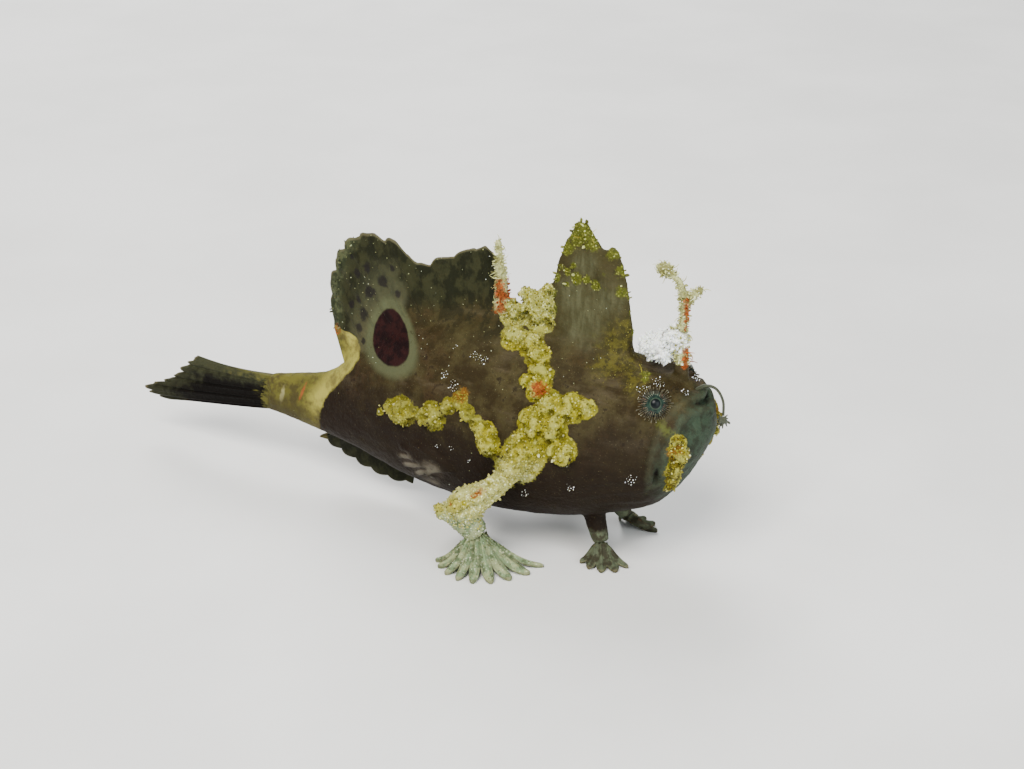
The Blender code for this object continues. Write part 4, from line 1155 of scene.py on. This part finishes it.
    colour = lay_marks(colour, [
        ("crown", 0.0, 0.4, 1.2, 0.9, 1.0, crown),
        ("yellow", 0.0, 0.12, 0.5, 0.3, 1.0, warts),
        ("orange", 0.0, 0.5, 1.4, 1.0, 1.0, chin),
        ("rust", 0.1, 0.7, 1.6, 1.2, 1.0, blend(beads, 0.4, 0.15, RUST, RUST_BEAD)),
        ("hand", 0.2, 0.8, 0.5, 0.2, 1.0, palm),
        ("pelvic", 0.25, 0.75, 0.5, 0.2, 1.0, foot),
        ("fluff", 0.0, 0.3, 0.5, 0.25, 1.0, frost),
        ("white", 0.0, 0.25, 0.5, 0.25, 1.0, WHITE),
        ("red", 0.0, 0.55, 1.5, 1.3, 0.9, blend(beads, 0.42, 0.16, RED_DARK, RED)),
        ("scratch", 0.1, 0.7, 0.9, 0.5, 0.75, RED_SCRATCH),
        # Painted shade in the mouth's cleft and in the nostril
        ("cleft", 0.1, 0.7, 0.1, 0.1, 0.95, CLEFT_SHADE),
    ])
    colour = lay(colour, FIN_RIM, ramp(fin_v, 0.965, 0.99), 0.5)

    grain = times_plus(cloud(7.0, 4.0), 0.7, times(coat.cells(3.2, "SMOOTH_F1"), -0.5))
    coat.add_bump(grain, 0.09, 0.9)
    return coat.finish(colour, {
        "Roughness": times_plus(cloud(3.0), 0.3, 0.48),
        "Specular IOR Level": 0.07,
        "Subsurface Weight": 0.08,
        "Subsurface Radius": (0.9, 0.45, 0.25),
        "Subsurface Scale": 0.5 * MM,
    })


def grain_material(name, dark, middle, light, depth=1.0):
    """Granules and tufts: three colours, one for each grain, with a little cloud and painted shade in the
    hollows over them.
    """
    coat = Coat(name)
    ramp, blend, lay, mark = coat.ramp, coat.blend, coat.lay, coat.mark
    tint = mark("tint")
    colour = blend(tint, 0.1, 0.5, dark, middle)
    colour = blend(tint, 0.72, 0.96, colour, light)
    patches = coat.times(ramp(coat.cloud(0.9, 3.0), 0.46, 0.64), 0.4)
    # Painted shade: the grains darken where the skin under them lies in a hollow; the cloud adds random
    # darker patches
    shade = coat.times_plus(ramp(mark("hollow"), 0.02, 0.16), 0.45, patches)
    colour = lay(colour, dark, shade, depth)
    colour = blend(mark("red"), 0.12, 0.45, colour, blend(tint, 0.2, 0.8, RED_DARK, RED))
    colour = lay(colour, dark, mark("streak"), 0.3)
    colour = lay(colour, light, mark("arm"), 0.35)
    coat.add_bump(coat.cloud(9.0), 0.04, 0.6)
    return coat.finish(colour, {
        "Roughness": 0.5,
        "Specular IOR Level": 0.16,
        "Subsurface Weight": 0.25,
        "Subsurface Radius": (0.9, 0.7, 0.3),
        "Subsurface Scale": 0.3 * MM,
    })


def eye_material():
    """A dark teal eye with light spokes round the pupil."""
    coat = Coat("wet_eye")
    ramp, blend, lay, cloud, times = coat.ramp, coat.blend, coat.lay, coat.cloud, coat.times
    gaze = node(coat.tree, "ShaderNodeAttribute", attribute_name="gaze").outputs["Vector"]
    parts = node(coat.tree, "ShaderNodeSeparateXYZ", {0: gaze})
    a, b = parts.outputs["X"], parts.outputs["Y"]
    away = coat.maths("SQRT", coat.maths("ADD", times(a, a), times(b, b)))
    speck = coat.maths("SUBTRACT", cloud(3.5, 3.0), 0.5)
    spokes = coat.maths("SINE", coat.times_plus(speck, 2.0, times(coat.maths("ARCTAN2", b, a), 31.0)))
    spokes = times(ramp(spokes, 0.45, 0.9), ramp(cloud(2.6, 2.0), 0.40, 0.58))
    light = blend(cloud(1.2), 0.42, 0.58, (0.24, 0.25, 0.18), (0.20, 0.09, 0.06))
    colour = blend(cloud(3.0, 4.0), 0.40, 0.60, (0.005, 0.012, 0.010), (0.015, 0.034, 0.025))
    colour = lay(colour, (0.020, 0.016, 0.012), ramp(away, 0.72, 1.0), 0.6)
    colour = lay(colour, light, spokes, ramp(away, 0.52, 0.70))
    colour = lay(colour, (0.07, 0.09, 0.055), times(ramp(away, 0.33, 0.37), ramp(away, 0.45, 0.40)), 0.4)
    colour = blend(away, 0.36, 0.33, colour, (0.003, 0.005, 0.006))
    return coat.finish(colour, {
        "Roughness": 0.3,
        "Specular IOR Level": 0.12,
        "Coat Weight": 0.04,
        "Coat Roughness": 0.06,
    })


def floor_material():
    coat = Coat("pale_floor")
    tone = coat.blend(coat.cloud(0.03, 4.0), 0.35, 0.65, (0.72, 0.72, 0.70), (0.78, 0.78, 0.76))
    return coat.finish(tone, {"Roughness": 0.7})


# Granules and tufts over the skin

def helper(name, bm):
    """A small shape that is copied over a surface, with each point's own place kept on it."""
    own = bm.verts.layers.float_vector.new("own")
    for v in bm.verts:
        v[own] = v.co
    return gather(name, [bm])


def granule(seed):
    """A grain of unit radius with an uneven outline."""
    draw = random.Random(seed)
    bm = bmesh.new()
    bmesh.ops.create_icosphere(bm, subdivisions=1, radius=1.0)
    for v in bm.verts:
        v.co *= draw.uniform(0.75, 1.15)
    bmesh.ops.scale(bm, vec=(1.0, 0.85, 0.8), verts=bm.verts[:])
    return bm


def leaf(seed):
    """A small upright flap of unit length, as tufts are made of."""
    draw = random.Random(seed)
    bm = bmesh.new()
    bmesh.ops.create_icosphere(bm, subdivisions=1, radius=1.0)
    bmesh.ops.scale(bm, vec=(0.42, 0.24, 0.62), verts=bm.verts[:])
    for v in bm.verts:
        ragged = Vector((draw.uniform(-1, 1), 0, draw.uniform(-1, 1))) * 0.06
        v.co += Vector((0.5 * v.co.z ** 2, 0.0, 0.42)) + ragged
    return bm


def tassel():
    """A thread of unit length that stands up, narrows and leans over."""
    path = [(0.0, 0.0, -0.15), (0.02, 0.0, 0.3), (0.3, 0.0, 0.68), (0.75, 0.0, 0.95)]
    return tube(path, [0.09, 0.08, 0.06, 0.03], 5, 5)


def new_group(name):
    """An empty geometry tree with its way in and its way out."""
    group = bpy.data.node_groups.new(name, "GeometryNodeTree")
    for way in ("INPUT", "OUTPUT"):
        group.interface.new_socket("Geometry", in_out=way, socket_type="NodeSocketGeometry")
    return group, node(group, "NodeGroupInput").outputs[0], node(group, "NodeGroupOutput").inputs[0]


def scatter(name, base, mark_name, low, spacing, shape, sizes, seed):
    """Copies a small shape over a surface where a marking is over low, as one mesh."""
    group, start, end = new_group(name)

    def kept(attribute, kind):
        made = node(group, "GeometryNodeInputNamedAttribute", {"Name": attribute}, data_type=kind)
        return made.outputs["Attribute"]

    def chance(kind, bounds, step):
        made = node(group, "FunctionNodeRandomValue", {**bounds, "Seed": seed + step}, data_type=kind)
        return made.outputs[0 if kind == "FLOAT_VECTOR" else 1]

    def store(geometry, attribute, value, kind, domain):
        inputs = {"Geometry": geometry, "Name": attribute, "Value": value}
        made = node(group, "GeometryNodeStoreNamedAttribute", inputs, data_type=kind, domain=domain)
        return made.outputs[0]

    chosen = {"Value": kept(mark_name, "FLOAT"), "From Min": low, "From Max": low + 0.25}
    share = node(group, "ShaderNodeMapRange", chosen).outputs["Result"]
    spread = node(
        group, "GeometryNodeDistributePointsOnFaces",
        {
            "Mesh": start, "Distance Min": spacing, "Density Max": 3.0 / spacing ** 2,
            "Density Factor": share, "Seed": seed,
        },
        distribute_method="POISSON",
    )
    size = chance("FLOAT", {2: sizes[0], 3: sizes[1]}, 1)
    spin = chance("FLOAT_VECTOR", {0: (-0.5, -0.5, -3.1), 1: (0.5, 0.5, 3.1)}, 2)
    heading = {0: spread.outputs["Rotation"], 1: spin}
    turned = node(group, "FunctionNodeRotateRotation", heading, rotation_space="LOCAL").outputs[0]
    copied = node(group, "GeometryNodeObjectInfo", {"Object": shape}).outputs["Geometry"]
    laid = {"Points": spread.outputs["Points"], "Instance": copied, "Rotation": turned, "Scale": size}
    placed = node(group, "GeometryNodeInstanceOnPoints", laid).outputs[0]
    tinted = store(placed, "tint", chance("FLOAT", {2: 0.0, 3: 1.0}, 3), "FLOAT", "INSTANCE")
    real = node(group, "GeometryNodeRealizeInstances", {0: tinted}).outputs[0]
    spot = {0: kept("own", "FLOAT_VECTOR"), 1: (PATCH, PATCH, PATCH), 2: kept("unwrap", "FLOAT_VECTOR")}
    patch = node(group, "ShaderNodeVectorMath", spot, operation="MULTIPLY_ADD").outputs[0]
    group.links.new(store(real, "OFBake", patch, "FLOAT2", "CORNER"), end)
    made = bpy.data.objects.new(name, base.data)
    bpy.context.scene.collection.objects.link(made)
    made.modifiers.new("scatter", "NODES").node_group = group
    graph = bpy.context.evaluated_depsgraph_get()
    mesh = bpy.data.meshes.new_from_object(made.evaluated_get(graph))
    made.modifiers.clear()
    made.data = mesh
    mesh.name = name
    return made


def unwrap(obj):
    """Where each point lies along the body and round it, as a place on a map."""
    mesh = obj.data
    x, y, z = read_points(mesh).T
    layer = mesh.attributes.new("unwrap", "FLOAT_VECTOR", "POINT")
    turn = np.arctan2(z - MAP_HEIGHT, y) / (2 * math.pi) + 0.5
    place = np.stack([(x - MAP_START) / MAP_LENGTH, turn, np.zeros(len(x))], axis=1)
    layer.data.foreach_set("vector", place.astype(np.float32).reshape(-1))


# The pieces

def make_fins():
    """The thin part of every fin, each with its slot and the node that it stands for."""
    dorsal = plate(132, 46, dorsal_surface(), ray_thickness(len(DORSAL_TIPS), 0.17, 0.36, 0.35))
    anal = plate(72, 20, anal_surface(), ray_thickness(len(ANAL_TIPS), 0.15, 0.32, 0.2))
    caudal = plate(120, 40, caudal_surface(), ray_thickness(len(CAUDAL_TIPS), 0.17, 0.27, 0.3))
    made = [
        (gather("back_fin", [dorsal]), "body_skin", "soft_dorsal_fin"),
        (gather("belly_fin", [anal]), "body_skin", "anal_fin"),
        (gather("tail_fin", [caudal]), "dark_fin", "caudal_fin"),
    ]
    palm = foot_surface(WRIST, HAND_PALM, HAND_TIPS, 0.45)
    sole = foot_surface(PELVIC_PATH[-1], PELVIC_PALM, PELVIC_TIPS, 0.3)
    for word, turn in (("left", lambda bm: bm), ("right", mirrored)):
        hand = turn(plate(96, 34, palm, ray_thickness(len(HAND_TIPS), 0.12, 0.38, 0.55, 4, 0.3)))
        foot = turn(plate(56, 24, sole, ray_thickness(len(PELVIC_TIPS), 0.12, 0.36, 0.35, 4, 0.3)))
        made.append((gather("hand_" + word, [hand]), "pale_fin", "pectoral_fin_" + word))
        made.append((gather("foot_" + word, [foot]), "pale_fin", "pelvic_fin_" + word))
    for obj, _, _ in made:
        write_marks(obj)
        unwrap(obj)
    return made


def make_eye(side, word, material):
    centre, out = eye_place()
    centre, out = Vector((centre.x, centre.y * side, centre.z)), Vector((out.x, out.y * side, out.z))
    bm = bmesh.new()
    gaze = bm.verts.layers.float_vector.new("gaze")
    bmesh.ops.create_uvsphere(bm, u_segments=64, v_segments=40, radius=EYE_RADIUS)
    for v in bm.verts:
        v[gaze] = v.co / EYE_RADIUS
        pupil = math.hypot(v.co.x, v.co.y) / EYE_RADIUS
        v.co.z += 0.10 * math.exp(-(pupil / 0.38) ** 4) if v.co.z > 0 else 0.0
    turned = Matrix.Translation(centre) @ out.to_track_quat("Z", "Y").to_matrix().to_4x4()
    bmesh.ops.transform(bm, matrix=turned, verts=bm.verts[:])
    eye = gather("eyeball_" + word, [bm])
    settle(eye, "eye", material, "eye_" + word)


def make_eye_fringe(side, word, material):
    """Short pale threads that stand round the eye like rays."""
    centre, out = eye_place()
    draw = random.Random(7)
    turned = out.to_track_quat("Z", "Y").to_matrix()
    whole = bmesh.new()
    tint = whole.verts.layers.float.new("tint")
    for k in range(EYE_RAYS):
        a = 2 * math.pi * (k + draw.uniform(-0.3, 0.3)) / EYE_RAYS
        way = turned @ Vector((math.cos(a), math.sin(a), 0.0))
        start = centre + way * draw.uniform(0.84, 0.92) + out * 0.84
        knee = centre + way * 1.2 + out * draw.uniform(0.66, 0.8)
        end = centre + way * draw.uniform(1.25, 1.72) + out * draw.uniform(0.52, 0.8)
        ray = tube([tuple(start), tuple(knee), tuple(end)], draw.choice(RAY_SHAPES), 6, 9)
        before = len(whole.verts)
        join(whole, ray)
        whole.verts.ensure_lookup_table()
        shade = draw.uniform(0.0, 0.35)
        for v in whole.verts[before:]:
            v[tint] = shade + 1.6 * max(0.0, (v.co - start).length / (end - start).length - 0.62)
            v.co.y *= side
    bmesh.ops.recalc_face_normals(whole, faces=whole.faces[:])
    fringe = gather("eye_fringe_" + word, [whole])
    settle(fringe, "white_skin", material)


def make_lure(material):
    x, y, z, radius = LURE_BAIT
    draw = random.Random(5)
    bait = Vector((x, y, z))
    shapes = [tube(LURE_PATH, LURE_STALK, 14, 40)]
    for _ in range(LURE_TUFTS):
        way = Vector((draw.uniform(-1, 1), draw.uniform(-1, 1), draw.uniform(-1, 1))).normalized()
        bm = bmesh.new()
        bmesh.ops.create_icosphere(bm, subdivisions=2, radius=radius * draw.uniform(0.22, 0.42))
        bmesh.ops.translate(bm, vec=bait + way * radius * draw.uniform(0.2, 0.6), verts=bm.verts[:])
        shapes.append(bm)
        tip = bait + way * radius * draw.uniform(1.0, 1.6) + Vector((0.0, 0.0, -0.15))
        path = [tuple(bait), tuple(bait + way * radius * 0.8), tuple(tip)]
        shapes.append(tube(path, [0.09, 0.08, 0.05], 8, 8))
    lure = gather("lure", shapes)
    remesh = lure.modifiers.new("melt", "REMESH")
    remesh.mode = "VOXEL"
    remesh.voxel_size = LURE_VOXEL
    apply_modifiers(lure)
    settle(lure, "white_skin", material, "illicium")


def make_floor():
    bm = bmesh.new()
    bmesh.ops.create_grid(bm, x_segments=2, y_segments=2, size=2000.0)
    floor = gather("floor", [bm])
    floor.data.transform(Matrix.Scale(MM, 4))
    floor.data.materials.append(floor_material())


def make_light(name, place, size, power, colour):
    lamp = bpy.data.lights.new(name, "AREA")
    lamp.size = size
    lamp.energy = power
    lamp.color = colour
    obj = bpy.data.objects.new(name, lamp)
    obj.location = place
    obj.rotation_euler = (Vector((0.01, 0.0, 0.012)) - Vector(place)).to_track_quat("-Z", "Y").to_euler()
    bpy.context.scene.collection.objects.link(obj)


def make_studio():
    make_light("key", (0.02, -0.28, 0.36), 0.22, 3.6, (1.0, 0.97, 0.92))
    make_light("fill", (0.34, -0.16, 0.16), 0.30, 1.3, (0.92, 0.97, 1.0))
    make_light("back", (-0.20, 0.26, 0.30), 0.25, 2.2, (1.0, 1.0, 1.0))
    world = bpy.data.worlds.new("studio")
    bpy.context.scene.world = world
    world.use_nodes = True
    world.node_tree.nodes["Background"].inputs["Color"].default_value = (0.86, 0.88, 0.90, 1.0)
    world.node_tree.nodes["Background"].inputs["Strength"].default_value = 0.4


def make_camera():
    lens = bpy.data.cameras.new("camera")
    lens.sensor_fit = "HORIZONTAL"
    lens.angle = math.radians(CAMERA_VIEW)
    lens.clip_start = 0.001
    camera = bpy.data.objects.new("camera", lens)
    bpy.context.scene.collection.objects.link(camera)
    turn, climb = math.radians(CAMERA_TURN), math.radians(CAMERA_RISE)
    away = Vector((math.sin(turn) * math.cos(climb), -math.cos(turn) * math.cos(climb), math.sin(climb)))
    aim = (Vector(CAMERA_AIM) - Vector((MIDDLE, 0.0, 0.0))) * MM
    camera.location = aim + away * CAMERA_REACH * MM
    camera.rotation_euler = (-away).to_track_quat("-Z", "Y").to_euler()
    bpy.context.scene.camera = camera


def main():
    skin = skin_material()
    yellow_grain = grain_material(
        "yellow_grains", (0.085, 0.076, 0.006), (0.25, 0.225, 0.014), (0.52, 0.51, 0.17),
    )
    white_grain = grain_material(
        "white_grains", (0.78, 0.82, 0.76), (0.90, 0.92, 0.88), (0.95, 0.96, 0.94), 0.0,
    )
    fuzz = grain_material("fuzz", (0.18, 0.16, 0.014), (0.31, 0.285, 0.045), (0.64, 0.64, 0.34))
    gold_grain = grain_material(
        "golden_grains", (0.032, 0.028, 0.005), (0.085, 0.076, 0.008), (0.20, 0.185, 0.035),
    )
    frost = grain_material("frosted_flaps", (0.24, 0.24, 0.08), (0.44, 0.45, 0.20), (0.76, 0.78, 0.56), 0.6)
    crown_grain = grain_material(
        "crown_grains", (0.056, 0.058, 0.008), (0.130, 0.138, 0.016), (0.40, 0.42, 0.16),
    )
    moss = grain_material("mossy_flaps", (0.030, 0.036, 0.018), (0.075, 0.085, 0.035), (0.21, 0.23, 0.11))
    dew = grain_material("pale_flecks", (0.10, 0.105, 0.05), (0.22, 0.23, 0.11), (0.62, 0.66, 0.50))

    flesh = make_flesh()
    write_marks(flesh)
    unwrap(flesh)
    fins = make_fins()

    grain_a = helper("grain_a", granule(1))
    grain_b = helper("grain_b", granule(2))
    flap = helper("flap", leaf(3))
    thread = helper("thread", tassel())
    hands = [fins[3][0], fins[5][0]]
    sand = grain_material("sandy_grains", (0.085, 0.095, 0.045), (0.24, 0.26, 0.13), (0.60, 0.63, 0.44))
    # Name, surface, marking and its least value, spacing, shape and its sizes, seed, slot, material
    rows = [
        ("band_grains", flesh, "yellow", 0.04, 0.21, grain_a, (0.05, 0.15), 20, "arm_skin", yellow_grain),
        ("crown_grains", flesh, "crown", 0.10, 0.24, grain_b, (0.04, 0.13), 30, "arm_skin", crown_grain),
        ("chin_grains", flesh, "orange", 0.08, 0.22, grain_b, (0.04, 0.12), 60, "arm_skin", gold_grain),
        ("sail_dust", flesh, "dust", 0.10, 0.30, grain_b, (0.02, 0.075), 65, "arm_skin", gold_grain),
        ("band_flaps", flesh, "yellow", 0.10, 0.55, flap, (0.14, 0.34), 70, "arm_skin", fuzz),
        ("crown_flaps", flesh, "crown", 0.2, 0.46, flap, (0.14, 0.42), 80, "arm_skin", crown_grain),
        ("crown_threads", flesh, "crown", 0.35, 0.9, thread, (0.3, 0.8), 85, "arm_skin", fuzz),
        ("spine_flaps", flesh, "fluff", 0.15, 0.24, flap, (0.12, 0.36), 90, "white_skin", frost),
        ("spine_threads", flesh, "fluff", 0.3, 0.42, thread, (0.3, 0.7), 92, "white_skin", frost),
        ("wrist_grains", flesh, "palm", 0.05, 0.26, grain_a, (0.04, 0.13), 45, "arm_skin", sand),
        ("palm_grains_left", hands[0], "palm", 0.05, 0.34, grain_a, (0.03, 0.12), 46, "pale_fin", sand),
        ("palm_grains_right", hands[1], "palm", 0.05, 0.34, grain_a, (0.03, 0.12), 47, "pale_fin", sand),
        ("palm_flaps_left", hands[0], "palm", 0.3, 0.8, flap, (0.10, 0.26), 48, "pale_fin", sand),
        ("palm_flaps_right", hands[1], "palm", 0.3, 0.8, flap, (0.10, 0.26), 49, "pale_fin", sand),
        ("white_grains", flesh, "white", 0.02, 0.30, grain_a, (0.10, 0.30), 35, "white_skin", white_grain),
        ("white_flaps", flesh, "white", 0.12, 0.27, flap, (0.22, 0.55), 40, "white_skin", white_grain),
        ("white_specks", flesh, "speck", 0.05, 0.19, flap, (0.04, 0.16), 95, "white_skin", white_grain),
        ("edge_flaps", fins[0][0], "edge", 0.3, 0.42, flap, (0.08, 0.3), 96, "body_skin", moss),
        ("rim_flecks", fins[0][0], "rim", 0.3, 0.4, grain_b, (0.03, 0.11), 97, "body_skin", dew),
        ("fin_flecks", fins[0][0], "fleck", 0.1, 0.5, grain_b, (0.02, 0.07), 98, "body_skin", dew),
        ("skin_flecks", flesh, "fleck", 0.25, 0.62, grain_b, (0.02, 0.065), 99, "body_skin", dew),
    ]
    pieces = [(scatter(*row[:8]), *row[8:]) for row in rows]
    for shape in (grain_a, grain_b, flap, thread):
        bpy.data.objects.remove(shape)
    for obj, slot, material in pieces:
        settle(obj, slot, material)
    settle(
        flesh, "body_skin", skin, "torso", "head", "tail_peduncle", "third_dorsal_spine",
        "second_dorsal_spine", "pectoral_arm_left", "pectoral_arm_right",
    )
    for obj, slot, name in fins:
        settle(obj, slot, skin, name)
    eye = eye_material()
    make_eye(1, "left", eye)
    make_eye(-1, "right", eye)
    lash = grain_material("eye_fringe", (0.036, 0.034, 0.022), (0.085, 0.076, 0.048), (0.46, 0.47, 0.36))
    make_eye_fringe(1, "left", lash)
    make_eye_fringe(-1, "right", lash)
    make_lure(grain_material("lure", (0.045, 0.050, 0.032), (0.105, 0.112, 0.070), (0.36, 0.38, 0.27)))
    make_floor()
    make_studio()
    make_camera()


main()
